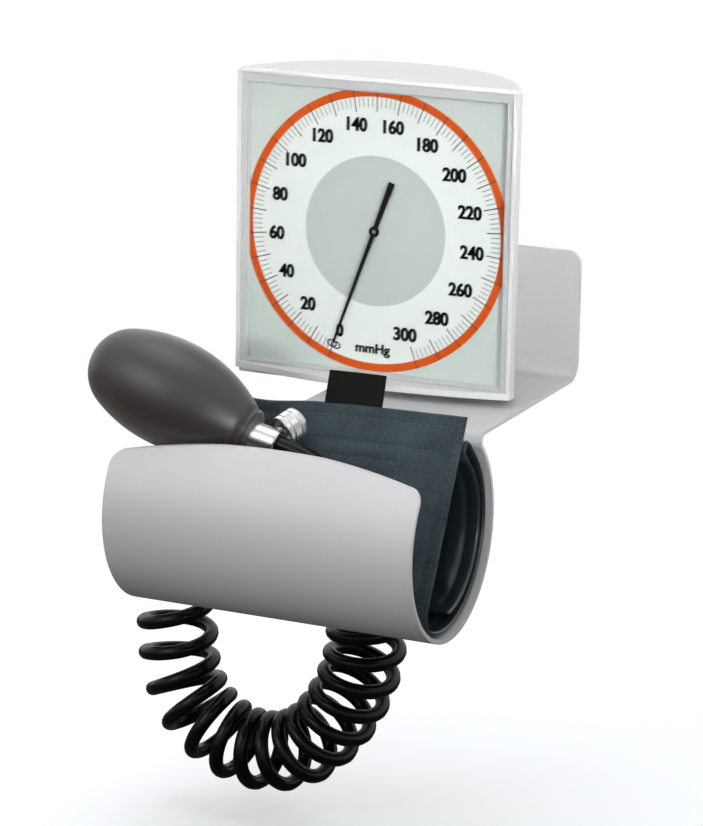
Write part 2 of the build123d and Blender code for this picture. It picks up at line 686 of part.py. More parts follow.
rib_count = 3
rib_depth = 0.8
rim_half = 0.6
capsule_middle = CAPSULE_BOTTOM + CAPSULE_HEIGHT / 2
dome = CAPSULE_HEIGHT / 2
flat_radius = 5.0
rib_step = (CAPSULE_RADIUS - 1.5 - flat_radius) / (2 * rib_count)


def capsule_side(way):
    """Half outline of the capsule from its flat middle to its rim, above or below the joint."""
    marks = [(0, dome), (flat_radius, dome)]
    for index in range(1, 2 * rib_count):
        fall = (dome - rim_half) * index / (2 * rib_count)
        crest = rib_depth / 2 if index % 2 == 0 else -rib_depth / 2
        marks.append((flat_radius + index * rib_step, dome - fall + crest))
    marks += [(CAPSULE_RADIUS - 1.5, rim_half), (CAPSULE_RADIUS, rim_half)]
    return [(radius, capsule_middle + way * height) for radius, height in marks]


capsule = turned(capsule_side(1) + capsule_side(-1)[::-1])
cavity_share = 0.55
cavity = turned([(0, capsule_middle - dome * cavity_share), (CAPSULE_RADIUS * 0.75, capsule_middle - 0.2),
                 (CAPSULE_RADIUS * 0.75, capsule_middle + 0.2), (0, capsule_middle + dome * cavity_share)])
capsule -= cavity
capsule -= pin((0, 0, CAPSULE_BOTTOM), (0, 0, 1), dome, BOLT_BORE)
save("pressure_capsule", Pos(link_x, capsule_y) * capsule)

stem_bottom = 18.5
inlet = turned([
    (BOLT_BORE, stem_bottom - INNER_BARB_LENGTH), (BARB_RADIUS, stem_bottom - INNER_BARB_LENGTH),
    (BARB_RADIUS, stem_bottom),
    (STEM_RADIUS, stem_bottom), (STEM_RADIUS, BRACKET_SHELF_TOP), (flat_radius, BRACKET_SHELF_TOP),
    (flat_radius, CAPSULE_BOTTOM), (BOLT_BORE, CAPSULE_BOTTOM),
])
save("capsule_inlet", Pos(link_x, capsule_y) * inlet)

angle_bottom = BRACKET_SHELF_TOP - PLATE
angle_back = -32.0
angle_right = link_x + tongue_half / 2 + 3.0
angle = box(-tongue_half, angle_right, bridge_back, angle_back, angle_bottom, BRACKET_SHELF_TOP)
angle += box(-tongue_half, tongue_half, bridge_back, bridge_back + PLATE, bridge_bottom, BRACKET_SHELF_TOP)
angle -= pin((link_x, capsule_y, angle_bottom), (0, 0, 1), PLATE, STEM_RADIUS + RUNNING_FIT)
for x, z in tongue_screws:
    angle -= pin((x, bridge_back, z), (0, 1, 0), PLATE, SMALL_SCREW_RADIUS + RUNNING_FIT)
save("capsule_angle", angle)
save("angle_screws", Compound([plate_screw(x, bridge_back + PLATE, z, 2 * PLATE) for x, z in tongue_screws]))

inlet_nut_height = 3.0
inlet_nut_flats = 10.0
inlet_nut_face = RegularPolygon(inlet_nut_flats / 2, 6, major_radius=False) - Circle(STEM_RADIUS)
inlet_nut = upright(inlet_nut_face, angle_bottom - inlet_nut_height, inlet_nut_height)
save("inlet_nut", Pos(link_x, capsule_y) * inlet_nut)

inner_run = 2 * INNER_BARB_LENGTH
inner_route = [(0, HINGE_Y, cap_top), (0, HINGE_Y, cap_top + inner_run),
               (link_x, capsule_y, stem_bottom - inner_run), (link_x, capsule_y, stem_bottom)]
inner_hose = hose_tube(inner_route, HOSE_INNER_DIAMETER, 2 * BARB_RADIUS)
save("inner_hose", inner_hose)

# The hairspring takes up the play between the teeth

spring_width = 1.0
spring_thickness = 0.25
spring_turns = 4
spring_start = 2.2
spring_step = 0.6
spring_front = pinion_front + pinion_width + 0.6
spring_moves = [(spring_start + spring_step * index, 180) for index in range(2 * spring_turns)]
spring_face = Face(strip_outline((spring_start, 0), 90, spring_moves, spring_thickness))
hairspring = plate(Pos(0, DIAL_Z) * spring_face, spring_front, spring_width)
save("hairspring", hairspring)

# The pointer, whose rest is on zero

pointer_outline = [(-POINTER_TAIL, -POINTER_TAIL_WIDTH / 2), (0, -POINTER_TIP_WIDTH),
                   (POINTER_LENGTH, -POINTER_TIP_WIDTH / 2), (POINTER_LENGTH, POINTER_TIP_WIDTH / 2),
                   (0, POINTER_TIP_WIDTH), (-POINTER_TAIL, POINTER_TAIL_WIDTH / 2)]
pointer_face = make_face(Polyline(*pointer_outline, close=True)) + Circle(HUB_RADIUS)
pointer = plate(Pos(0, DIAL_Z) * Rot(0, 0, ZERO_ANGLE) * pointer_face, POINTER_FRONT, POINTER_THICKNESS)
pointer -= pin((0, POINTER_FRONT, DIAL_Z), (0, 1, 0), POINTER_THICKNESS, SHAFT_RADIUS)
save("pointer", pointer)
pointer_back = POINTER_FRONT + POINTER_THICKNESS
bush_gap = 0.2
bush_length = DIAL_FACE - pointer_back - bush_gap
bush_radius = 2 * SHAFT_RADIUS - bush_gap
save("pointer_bush", tube((0, pointer_back, DIAL_Z), (0, 1, 0), bush_length, bush_radius, SHAFT_RADIUS))

# The cuff: one long padded strip, rolled into the basket, with its end flap standing up in front


def cuff_moves(flap_top, flap_angle, rear_run):
    """Runs and bends of the strip's middle line, from the top of the flap inwards."""
    ring = BASKET_RADIUS - CUFF_CLEARANCE - CUFF_THICKNESS / 2
    heading = 180 + flap_angle
    c, s = unit(heading)
    side_y = flap_top[0] - CUFF_FRONT_BEND * s - BASKET_Y
    side_z = flap_top[1] + CUFF_FRONT_BEND * c - BASKET_Z
    along = side_y * c + side_z * s
    reach = ring - CUFF_FRONT_BEND
    flap = -along + math.sqrt(along**2 - side_y**2 - side_z**2 + reach**2)
    bend_angle = math.degrees(math.atan2(side_z + flap * s, side_y + flap * c)) % 360
    inner_ring = ring - CUFF_LAYER_STEP
    return heading, flap, [
        (flap,),
        (CUFF_FRONT_BEND, bend_angle + 90 - heading),
        (ring, 360 + CUFF_REAR_ANGLE - bend_angle),
        (rear_run,),
        (CUFF_FOLD_BEND, 180),
        (rear_run,),
        (inner_ring, -CUFF_INNER_TURN),
    ]


def cuff_section(x, flap_top, flap_angle, rear_run):
    """Section of the cuff, with the length of its flap."""
    heading, flap, moves = cuff_moves(flap_top, flap_angle, rear_run)
    outline = strip_outline(flap_top, heading, moves, CUFF_THICKNESS)
    stand = Plane(origin=(x, 0, 0), x_dir=(0, 1, 0), z_dir=(1, 0, 0))
    return stand * Face(outline), flap


left_section, left_flap = cuff_section(CUFF_LEFT, FLAP_TOP_LEFT, FLAP_ANGLE_LEFT, CUFF_REAR_RUN_LEFT)
right_section, right_flap = cuff_section(CUFF_RIGHT, FLAP_TOP_RIGHT, FLAP_ANGLE_RIGHT, CUFF_REAR_RUN_RIGHT)
cuff = loft([left_section, right_section], ruled=True)
print("cuff flap", round(left_flap, 1), round(right_flap, 1))

bulb_c, bulb_s = unit(-BULB_TILT)
bulb_plane = Plane(origin=BULB_TIP, x_dir=(0, 1, 0), z_dir=(bulb_c, 0, bulb_s))
cap_to_widest = BULB_WIDEST - BULB_CAP_RADIUS
body_arc = (cap_to_widest**2 + BULB_RADIUS**2 - BULB_CAP_RADIUS**2) / (2 * (BULB_RADIUS - BULB_CAP_RADIUS))


def bulb_body(inset):
    """Solid of the bulb's outer or inner form about its own axis."""
    cap_radius = BULB_CAP_RADIUS - inset
    long_arc = body_arc - inset
    shoulder = BULB_SHOULDER - inset
    drop = body_arc - BULB_RADIUS
    meet = math.degrees(math.atan2(drop, -cap_to_widest))
    c, s = unit(meet)
    c2, s2 = unit((meet + 180) / 2)
    c3, s3 = unit((meet + 90) / 2)
    side_drop = BULB_SHOULDER - BULB_RADIUS
    neck_run = BULB_NECK_START - BULB_WIDEST
    neck_angle = math.degrees(math.asin(neck_run / BULB_SHOULDER))
    c4, s4 = unit(90 - neck_angle / 2)
    c5, s5 = unit(90 - neck_angle)
    tip = (0, 0, inset)
    joint = ((s * cap_radius), 0, BULB_CAP_RADIUS + c * cap_radius)
    widest = (BULB_RADIUS - inset, 0, BULB_WIDEST)
    neck = (s5 * shoulder - side_drop, 0, BULB_WIDEST + c5 * shoulder)
    outline = [
        ThreePointArc(tip, (s2 * cap_radius, 0, BULB_CAP_RADIUS + c2 * cap_radius), joint),
        ThreePointArc(joint, (s3 * long_arc - drop, 0, BULB_WIDEST + c3 * long_arc), widest),
        ThreePointArc(widest, (s4 * shoulder - side_drop, 0, BULB_WIDEST + c4 * shoulder), neck),
    ]
    if inset:
        end = (0, 0, neck[2])
        outline += [Line(neck, end), Line(end, tip)]
    else:
        rim, end = (BULB_NECK_RADIUS, 0, BULB_LENGTH), (0, 0, BULB_LENGTH)
        outline += [Line(neck, rim), Line(rim, end), Line(end, tip)]
    return revolve(make_face(outline), axis=Axis.Z)


bulb_outer = bulb_body(0)
bulb = bulb_outer - bulb_body(BULB_WALL)
bulb -= pin((0, 0, BULB_NECK_START - BULB_WALL - 1), (0, 0, 1), BULB_LENGTH, BULB_BORE)
bulb -= pin((0, 0, 0), (0, 0, 1), BULB_CAP_RADIUS, INTAKE_RADIUS)
save("bulb", bulb_plane * bulb)
intake_length = 7.0
intake_start = 0.8
intake = tube((0, 0, intake_start), (0, 0, 1), intake_length, INTAKE_RADIUS, 1.0)
save("intake_valve", bulb_plane * intake)

# Where the bulb leans on the flap, it presses a shallow dent into it
dent_clearance = 0.35
dent = bulb_body(-dent_clearance)
cuff -= bulb_plane * dent

# The flap leans back a little more at its left, so points on it follow its own lean


def flap_ways(x):
    """Directions down the flap and straight out of its front, at an X."""
    share = (x - CUFF_LEFT) / (CUFF_RIGHT - CUFF_LEFT)
    c, s = unit(180 + FLAP_ANGLE_LEFT + share * (FLAP_ANGLE_RIGHT - FLAP_ANGLE_LEFT))
    return Vector(0, c, s), Vector(0, s, -c)


def on_flap(x, along, out):
    """Point near the flap: X, distance down from its top edge, and distance out in front of its middle."""
    share = (x - CUFF_LEFT) / (CUFF_RIGHT - CUFF_LEFT)
    top_y = FLAP_TOP_LEFT[0] + share * (FLAP_TOP_RIGHT[0] - FLAP_TOP_LEFT[0])
    top_z = FLAP_TOP_LEFT[1] + share * (FLAP_TOP_RIGHT[1] - FLAP_TOP_LEFT[1])
    down, front = flap_ways(x)
    return Vector(x, top_y, top_z) + down * along + front * out


def flap_block(x, along, out, length, width, thickness):
    """Flat block lying on the flap about a point of it."""
    down, front = flap_ways(x)
    rightwards = on_flap(x + 1, along, out) - on_flap(x - 1, along, out)
    face_way = down.cross(rightwards).normalized()
    return Plane(origin=on_flap(x, along, out), x_dir=down, z_dir=face_way) * Box(length, width, thickness)


# The air bladder lies in a flat pocket inside the flap
bladder_x = (BLADDER_LEFT + BLADDER_RIGHT) / 2
bladder_width = BLADDER_RIGHT - BLADDER_LEFT
bladder_middle = BLADDER_START + BLADDER_LENGTH / 2
pocket_gap = 0.2
bladder = flap_block(bladder_x, bladder_middle, 0, BLADDER_LENGTH, bladder_width, BLADDER_THICKNESS)
cuff -= flap_block(bladder_x, bladder_middle, 0, BLADDER_LENGTH + pocket_gap, bladder_width + pocket_gap,
                   BLADDER_THICKNESS + pocket_gap)
save("bladder", bladder)

# The tab stands up out of the seam along the flap's top edge
label_x = LABEL_LEFT + LABEL_WIDTH / 2
label_gap = 0.3
label_middle = -label_gap - LABEL_HEIGHT / 2
label = flap_block(label_x, label_middle, 0, LABEL_HEIGHT, LABEL_WIDTH, LABEL_THICKNESS)
save("cuff_label", label)

# The valve on the bulb's neck, with the knurled release knob at its side

valve_c, valve_s = unit(-VALVE_TILT)
valve_axis = Vector(valve_c, 0, valve_s)
collar = bulb_plane.from_local_coords((0, 0, BULB_LENGTH))
spigot_depth = 4.5
valve = pin(collar, valve_axis, VALVE_LENGTH, VALVE_RADIUS)
valve -= bulb_plane * pin((0, 0, BULB_LENGTH - VALVE_RADIUS), (0, 0, 1), VALVE_RADIUS, 3 * VALVE_RADIUS)
valve += bulb_plane * pin((0, 0, BULB_LENGTH - spigot_depth), (0, 0, 1), spigot_depth + 1, BULB_BORE)
knob_axis = Vector(*KNOB_AXIS).normalized()
stem_root = collar + valve_axis * (VALVE_LENGTH - VALVE_STEM_RADIUS - 0.5)
knob_start = stem_root + knob_axis * KNOB_DISTANCE
stem_end = KNOB_DISTANCE + KNOB_HOLLOW - 1.2
valve += pin(stem_root, knob_axis, stem_end, VALVE_STEM_RADIUS)
needle_hole = NEEDLE_RADIUS + RUNNING_FIT
valve -= pin(stem_root, knob_axis, stem_end, needle_hole)
valve_end = collar + valve_axis * VALVE_LENGTH
valve -= pin(valve_end - valve_axis * 3, valve_axis, 3, BOLT_BORE)
save("valve_body", valve)
ring = pin(valve_end, valve_axis, VALVE_RING, VALVE_RING_RADIUS)
ring_front = valve_end + valve_axis * VALVE_RING
ring = chamfer(ring.edges().filter_by(GeomType.CIRCLE).sort_by_distance(ring_front)[0], 0.7)
ring -= pin(valve_end, valve_axis, VALVE_RING, BOLT_BORE)
ring -= pin(stem_root, knob_axis, stem_end, VALVE_STEM_RADIUS)
save("valve_ring", ring)

knob = pin(knob_start, knob_axis, KNOB_LENGTH, KNOB_RADIUS)
knob -= pin(knob_start, knob_axis, KNOB_HOLLOW, KNOB_HOLLOW_RADIUS)
groove = 0.5
for place, width in ((2.2, 0.7), (6.4, 0.6)):
    cut = pin(knob_start + knob_axis * place, knob_axis, width, KNOB_RADIUS + 1)
    knob -= cut - pin(knob_start + knob_axis * place, knob_axis, width, KNOB_RADIUS - groove)
rounding = 1.2
knob_end = knob_start + knob_axis * KNOB_LENGTH
knob = fillet(knob.edges().filter_by(GeomType.CIRCLE).sort_by_distance(knob_end)[0], rounding)
needle_length = KNOB_DISTANCE + KNOB_HOLLOW + 2 - VALVE_STEM_RADIUS
needle_start = stem_root + knob_axis * VALVE_STEM_RADIUS
knob -= pin(needle_start, knob_axis, needle_length, NEEDLE_RADIUS)
save("release_knob", knob)
save("release_needle", pin(needle_start, knob_axis, needle_length, NEEDLE_RADIUS))

# The short hose from the valve down to the cuff's port

ring_end = valve_end + valve_axis * VALVE_RING
port_x = 33.0
port_along = 74.0
port_length = 9.0
port_lift = 1.3
port_out = CUFF_THICKNESS / 2 + BULB_HOSE_DIAMETER / 2 + port_lift
port_down, port_front = flap_ways(port_x)
port_point = on_flap(port_x, port_along, port_out)
bulb_hose_first, bulb_hose_last = 11.0, 15.0
bulb_route = [tuple(ring_end), tuple(ring_end + valve_axis * bulb_hose_first), (17.0, -166.8, -48.0),
              (27.0, -168.5, -59.5), tuple(port_point - port_down * bulb_hose_last), tuple(port_point)]
bulb_hose = hose_tube(bulb_route, BULB_HOSE_DIAMETER)
save("bulb_hose", bulb_hose)

port_gap = 0.1
port_radius = BULB_HOSE_DIAMETER / 2
port_flange = 1.0
port_flange_radius = 8.0
port = pin(port_point, port_down, port_length, port_radius)
port_foot = port_point + port_down * (port_length - port_radius)
port_height = port_radius + port_lift - port_gap
port += pin(port_foot, -port_front, port_height, port_radius)
flange_start = port_foot - port_front * (port_height - port_flange)
port += pin(flange_start, -port_front, port_flange, port_flange_radius)
save("cuff_port", port)

# The coiled hose from the swivel bolt to its plain tail

coil_route = [
    (-105.5, -85.0, -109.0), (-107.1, -77.8, -126.0), (-106.7, -76.0, -142.8), (-107.2, -76.0, -156.1),
    (-105.4, -76.0, -170.8), (-104.8, -76.0, -186.2), (-100.7, -76.0, -200.1), (-94.4, -76.0, -210.9),
    (-84.6, -76.0, -220.0), (-72.6, -76.0, -226.2), (-59.6, -76.0, -228.9), (-46.2, -76.0, -227.4),
    (-33.6, -76.0, -222.1), (-24.0, -76.0, -213.8), (-14.8, -76.0, -202.2), (-7.9, -76.0, -189.4),
    (-3.2, -76.0, -177.2), (-0.7, -76.0, -163.7), (0.1, -76.0, -150.6), (0.6, -74.0, -131.0),
    (0.3, -69.0, -108.0), (0.1, -61.0, -85.0), (0.0, -56.0, -68.0), (0.0, -56.0, -52.0),
]
coil_left_index = 2
coil_right_index = 18


def smooth_line(points):
    """Smooth line led by a route's points, as arcs of a parabola from middle to middle of its runs."""
    marks = [Vector(*point) for point in points]
    middles = [(a + b) * 0.5 for a, b in zip(marks, marks[1:])]
    middles[0], middles[-1] = marks[0], marks[-1]
    return Wire([Bezier(start, mark, end) for start, mark, end in zip(middles, marks[1:], middles[1:])])


def biarc(start, start_way, end, end_way):
    """Two arcs that join two points and keep the given ways at both."""
    chord = end - start
    ways = start_way + end_way
    spread = 2 * (1 - start_way.dot(end_way))
    pull = chord.dot(ways)
    reach = (math.sqrt(pull**2 + spread * chord.dot(chord)) - pull) / spread
    first, second = start + start_way * reach, end - end_way * reach
    joint = (first + second) * 0.5
    arcs = []
    for a, apex, b in ((start, first, joint), (joint, second, end)):
        half_chord = (b - a).length / 2
        base = (a + b) * 0.5
        height = (apex - base).length
        slope = math.atan2(height, half_chord)
        crown = base + (apex - base).normalized() * half_chord * math.tan(slope / 2)
        arcs.append(Edge.make_three_point_arc(a, crown, b))
    return arcs


coil_line = smooth_line(coil_route)
coil_length = coil_line.length
samples = 600
line_points = [coil_line.position_at(index / samples) for index in range(samples + 1)]


def share_near(point):
    """Share of the coil's line that lies nearest to a point."""
    return min(range(samples + 1), key=lambda index: (line_points[index] - Vector(*point)).length) / samples


left_share = share_near(coil_route[coil_left_index])
right_share = share_near(coil_route[coil_right_index])
turns = [0.0]
for index in range(samples):
    share = ((index + 0.5) / samples - left_share) / (right_share - left_share)
    if share < 0.45:
        pitch = CURL_PITCH_LEFT + (CURL_PITCH_LOW - CURL_PITCH_LEFT) * max(share, 0) / 0.45
    else:
        pitch = CURL_PITCH_LOW + (CURL_PITCH_RIGHT - CURL_PITCH_LOW) * min((share - 0.45) / 0.55, 1)
    turns.append(turns[-1] + coil_length / samples / pitch)
turns_left = turns[round(left_share * samples)]


def curl_point(turn):
    """Point of the curled hose after a number of turns."""
    index = min(max(sum(1 for mark in turns if mark <= turn) - 1, 0), samples - 1)
    part = (turn - turns[index]) / (turns[index + 1] - turns[index])
    share = (index + part) / samples
    middle, way = coil_line.position_at(share), coil_line.tangent_at(share)
    side = (Vector(0, 1, 0) - way * way.Y).normalized()
    other = side.cross(way)
    c, s = unit(360 * (turn - turns_left) + CURL_PHASE)
    return middle + other * (CURL_RADIUS * c) + side * (CURL_RADIUS * s)


def curl_way(turn):
    """Direction of the curled hose after a number of turns."""
    step = 0.002
    return (curl_point(turn + step) - curl_point(turn - step)).normalized()


knots_per_turn = 4
first_turn = turns[round(CURL_LEAD_LEFT / coil_length * samples)]
last_turn = turns[round((1 - CURL_LEAD_RIGHT / coil_length) * samples)]
knot_count = round((last_turn - first_turn) * knots_per_turn)
knots = [first_turn + (last_turn - first_turn) * index / knot_count for index in range(knot_count + 1)]
knot_points = [coil_line @ 0] + [curl_point(turn) for turn in knots] + [coil_line @ 1]
knot_ways = [coil_line % 0] + [curl_way(turn) for turn in knots] + [coil_line % 1]
coil_start = knot_points[0] - knot_ways[0] * END_RUN
coil_top = Vector(0, HINGE_Y, bolt_head_bottom)
coil_edges = [Edge.make_line(coil_start, knot_points[0])]
for index in range(len(knot_points) - 1):
    coil_edges += biarc(knot_points[index], knot_ways[index], knot_points[index + 1], knot_ways[index + 1])
coil_edges.append(Edge.make_line(knot_points[-1], coil_top))
coil_path = Wire(coil_edges)
print("curls", round(last_turn - first_turn, 2), "hose length", round(coil_path.length, 1))
tightest = min(edge.radius for edge in coil_edges[1:-1])
print("tightest curl arc", round(tightest, 2))

marks_per_turn = 60
mark_count = round((last_turn - first_turn) * marks_per_turn)
curl_marks = [curl_point(first_turn + index / marks_per_turn) for index in range(mark_count)]
least_gap = min((curl_marks[a] - curl_marks[b]).length for a in range(mark_count)
                for b in range(a + marks_per_turn // 2, min(a + 2 * marks_per_turn, mark_count)))
print("least gap of the coil to itself", round(least_gap - HOSE_DIAMETER, 2))

coil_section = Plane(origin=coil_path @ 0, z_dir=coil_path % 0) * Circle(HOSE_DIAMETER / 2)
coiled_hose = sweep(coil_section, path=coil_path)
print("coil volume share", round(coiled_hose.volume / (math.pi * HOSE_DIAMETER**2 / 4 * coil_path.length), 4))
coiled_hose -= pin(coil_top, (0, 0, -1), BARB_LENGTH, BARB_RADIUS)
save("coiled_hose", coiled_hose)

ferrule_length = BARB_LENGTH - 1
ferrule = tube(coil_top, (0, 0, -1), ferrule_length, FERRULE_RADIUS, HOSE_DIAMETER / 2)
save("hose_ferrule", ferrule)

# The hose's plain tail runs to an elbow in a port at the left end of the cuff

elbow_length = 4.0
elbow_reach = 11.5
elbow_radius = 5.0
nipple_radius = 2.2
port_left_along = 52.0
tail_last_run = 28.0
tail_bend = (-91.0, -131.0, -67.0)
elbow = on_flap(CUFF_LEFT, port_left_along, 0) - Vector(elbow_reach, 0, 0)
elbow_way = (Vector(*tail_bend) - elbow).normalized()
tail_start = elbow + elbow_way * elbow_length
tail_run_start = coil_start - knot_ways[0] * tail_last_run
tail_route = [tuple(tail_start), tail_bend, tuple(tail_run_start), tuple(coil_start)]
hose_tail = hose_tube(tail_route, HOSE_DIAMETER)
save("hose_tail", hose_tail)

connector = pin(tail_start, -elbow_way, elbow_length + elbow_radius, elbow_radius)
connector += pin(elbow, (1, 0, 0), elbow_reach, nipple_radius)
save("hose_connector", connector)
save("cuff_roll", cuff)
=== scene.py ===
import bmesh
import bpy
import math
from mathutils import Matrix, Vector, noise


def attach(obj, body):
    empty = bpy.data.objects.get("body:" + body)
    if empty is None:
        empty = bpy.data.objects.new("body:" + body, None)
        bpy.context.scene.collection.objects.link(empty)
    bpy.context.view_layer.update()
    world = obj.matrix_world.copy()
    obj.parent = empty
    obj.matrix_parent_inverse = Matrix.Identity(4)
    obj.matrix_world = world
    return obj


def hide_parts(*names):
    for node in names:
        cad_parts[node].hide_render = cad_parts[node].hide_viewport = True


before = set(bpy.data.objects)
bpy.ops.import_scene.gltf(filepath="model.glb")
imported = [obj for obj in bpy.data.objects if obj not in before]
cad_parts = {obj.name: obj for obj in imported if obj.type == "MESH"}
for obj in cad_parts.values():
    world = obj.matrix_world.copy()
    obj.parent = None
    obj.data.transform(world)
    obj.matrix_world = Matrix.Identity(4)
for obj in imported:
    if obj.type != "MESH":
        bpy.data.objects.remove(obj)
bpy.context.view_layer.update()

scene = bpy.context.scene

# The camera stands in front of the gauge, to its right and a little above it, and looks at it
# through a long lens, so that near and far edges stay almost parallel.
right = Vector((0.90969, 0.41496, 0.01640))
up = Vector((-0.11893, 0.22247, 0.96766))
back = Vector((0.39789, -0.88222, 0.25173))
camera = bpy.data.objects.new("camera", bpy.data.cameras.new("camera"))
scene.collection.objects.link(camera)
camera.data.lens = 143.87
camera.data.sensor_width = 36.0
camera.data.clip_start = 0.1
stand = Matrix.Translation((0.62943, -1.49542, 0.35878))
camera.matrix_world = stand @ Matrix((right, up, back)).transposed().to_4x4()
scene.camera = camera
scene.view_settings.view_transform = "Standard"

# The studio is white all round. Its light comes mostly from above the horizon, with a large soft box
# overhead, one at the front left, and a narrow one at the right that reaches only the gauge's head. A
# gloss sees the white wall only behind the gauge.


def add(tree, kind, values=(), **settings):
    """New shader node with its settings and the plain values of its sockets."""
    node = tree.nodes.new(kind)
    for setting, value in settings.items():
        setattr(node, setting, value)
    for socket, value in dict(values).items():
        node.inputs[socket].default_value = value
    return node


def wire(tree, *rows):
    """Join shader nodes, each row naming a node and its output, then a node and its input."""
    for source, output, target, socket in rows:
        tree.links.new(source.outputs[output], target.inputs[socket])


world = bpy.data.worlds.new("studio")
world.use_nodes = True
scene.world = world
sky = world.node_tree
sky.nodes.clear()
light_path = add(sky, "ShaderNodeLightPath")
direction = add(sky, "ShaderNodeTexCoord")
height = add(sky, "ShaderNodeSeparateXYZ")
brightness = add(sky, "ShaderNodeMapRange", interpolation_type="SMOOTHSTEP",
                 values={"From Min": -0.30, "From Max": 0.40, "To Min": 0.03, "To Max": 0.77})
behind = add(sky, "ShaderNodeMapRange", {"From Min": -0.05, "From Max": 0.25})
glossy_behind = add(sky, "ShaderNodeMath", operation="MULTIPLY")
lighting = add(sky, "ShaderNodeBackground", {"Color": (1, 1, 1, 1)})
backdrop_white = add(sky, "ShaderNodeBackground", {"Color": (1, 1, 1, 1)})
seen = add(sky, "ShaderNodeMath", operation="MAXIMUM")
seen_all = add(sky, "ShaderNodeMath", operation="MAXIMUM")
choose = add(sky, "ShaderNodeMixShader")
world_output = add(sky, "ShaderNodeOutputWorld")
wire(sky, (direction, "Generated", height, "Vector"), (height, "Z", brightness, "Value"),
          (brightness, "Result", lighting, "Strength"), (light_path, "Is Camera Ray", seen, 0),
          (light_path, "Is Transmission Ray", seen, 1), (seen, "Value", seen_all, 0),
          (height, "Y", behind, "Value"), (behind, "Result", glossy_behind, 0),
          (light_path, "Is Glossy Ray", glossy_behind, 1), (glossy_behind, "Value", seen_all, 1),
          (seen_all, "Value", choose, "Fac"), (lighting, "Background", choose, 1),
          (backdrop_white, "Background", choose, 2), (choose, "Shader", world_output, "Surface"))


def soft_box(name, place, target, size, power, spread=180):
    """Square lamp that faces a point, with the angle that its light spreads over."""
    lamp = bpy.data.lights.new(name, "AREA")
    lamp.size, lamp.energy, lamp.spread = size, power, math.radians(spread)
    holder = bpy.data.objects.new(name, lamp)
    scene.collection.objects.link(holder)
    holder.location = place
    holder.rotation_euler = (Vector(target) - Vector(place)).to_track_quat("-Z", "Y").to_euler()


soft_box("top_soft_box", (-0.18, -0.05, 1.35), (0, -0.12, 0), 0.8, 3.2)
soft_box("front_soft_box", (-0.50, -1.25, 0.70), (0, -0.08, 0.04), 0.7, 3.6)
soft_box("head_light", (1.05, -0.85, 0.16), (0.00, -0.04, 0.105), 0.3, 0.29, spread=13)


def new_material(name, **values):
    """Material with its shader's plain values."""
    material = bpy.data.materials.new(name)
    material.use_nodes = True
    shader = material.node_tree.nodes["Principled BSDF"]
    for socket, value in values.items():
        shader.inputs[socket.replace("_", " ")].default_value = value
    return material, material.node_tree, shader


# The floor is a pale disc below the gauge that keeps its soft shadow. Further out it fades into the
# white of the backdrop, and it throws little light back up.
floor_mesh = bmesh.new()
bmesh.ops.create_circle(floor_mesh, cap_ends=True, segments=96, radius=2.4,
                        matrix=Matrix.Translation((0, -0.1, -0.262)))
floor_data = bpy.data.meshes.new("studio_floor")
floor_mesh.to_mesh(floor_data)
floor = bpy.data.objects.new("studio_floor", floor_data)
scene.collection.objects.link(floor)
floor_paint, floor_tree, floor_shader = new_material(
    "studio_floor", Base_Color=(0.93, 0.96, 0.98, 1), Roughness=1.0, Specular_IOR_Level=0.0)
white_edge = add(floor_tree, "ShaderNodeEmission")
dim_floor = add(floor_tree, "ShaderNodeBsdfDiffuse", {"Color": (0.12, 0.11, 0.095, 1)})
lifted_floor = add(floor_tree, "ShaderNodeAddShader")
floor_lift = add(floor_tree, "ShaderNodeEmission", {"Strength": 0.22})
floor_place = add(floor_tree, "ShaderNodeTexCoord")
floor_reach = add(floor_tree, "ShaderNodeVectorMath", operation="LENGTH")
floor_fade = add(floor_tree, "ShaderNodeMapRange", {"From Min": 0.35, "From Max": 0.8})
floor_ray = add(floor_tree, "ShaderNodeLightPath")
faded = add(floor_tree, "ShaderNodeMixShader")
by_ray = add(floor_tree, "ShaderNodeMixShader")
wire(floor_tree, (floor_place, "Object", floor_reach, 0), (floor_reach, "Value", floor_fade, "Value"),
                 (floor_fade, "Result", faded, "Fac"), (floor_shader, "BSDF", lifted_floor, 0),
                 (floor_lift, "Emission", lifted_floor, 1), (lifted_floor, "Shader", faded, 1),
                 (white_edge, "Emission", faded, 2), (floor_ray, "Is Camera Ray", by_ray, "Fac"),
                 (dim_floor, "BSDF", by_ray, 1), (faded, "Shader", by_ray, 2),
                 (by_ray, "Shader", floor_tree.nodes["Material Output"], "Surface"))
floor.data.materials.append(floor_paint)

# The coiled hose is one black rubber tube, extruded, wound on a rod and cured in its curls. It
# slips on the barb of the hollow bolt below the shelf, hangs in a loop, and its plain tail runs up
# to the elbow at the left end of the cuff.


def smooth_curve(name, points, steps):
    """Curve of one smooth line led by points."""
    curve = bpy.data.curves.new(name, "CURVE")
    curve.dimensions = "3D"
    curve.resolution_u = steps
    spline = curve.splines.new("NURBS")
    spline.points.add(len(points) - 1)
    for point, place in zip(spline.points, points):
        point.co = (*place, 1)
    spline.order_u = 3
    spline.use_endpoint_u = True
    piece = bpy.data.objects.new(name, curve)
    scene.collection.objects.link(piece)
    return piece


def line_of(route):
    """Places close together along the smooth line that a route leads."""
    holder = smooth_curve("route", route, 40)
    mesh = bpy.data.meshes.new_from_object(holder)
    places = [vertex.co.copy() for vertex in mesh.vertices]
    curve = holder.data
    bpy.data.meshes.remove(mesh)
    bpy.data.objects.remove(holder)
    bpy.data.curves.remove(curve)
    return places


def hose_curve(name, points, radius, steps, around):
    """Round tube along a smooth line led by points."""
    piece = smooth_curve(name, points, steps)
    piece.data.bevel_depth = radius
    piece.data.bevel_resolution = around
    piece.data.use_fill_caps = True
    return piece


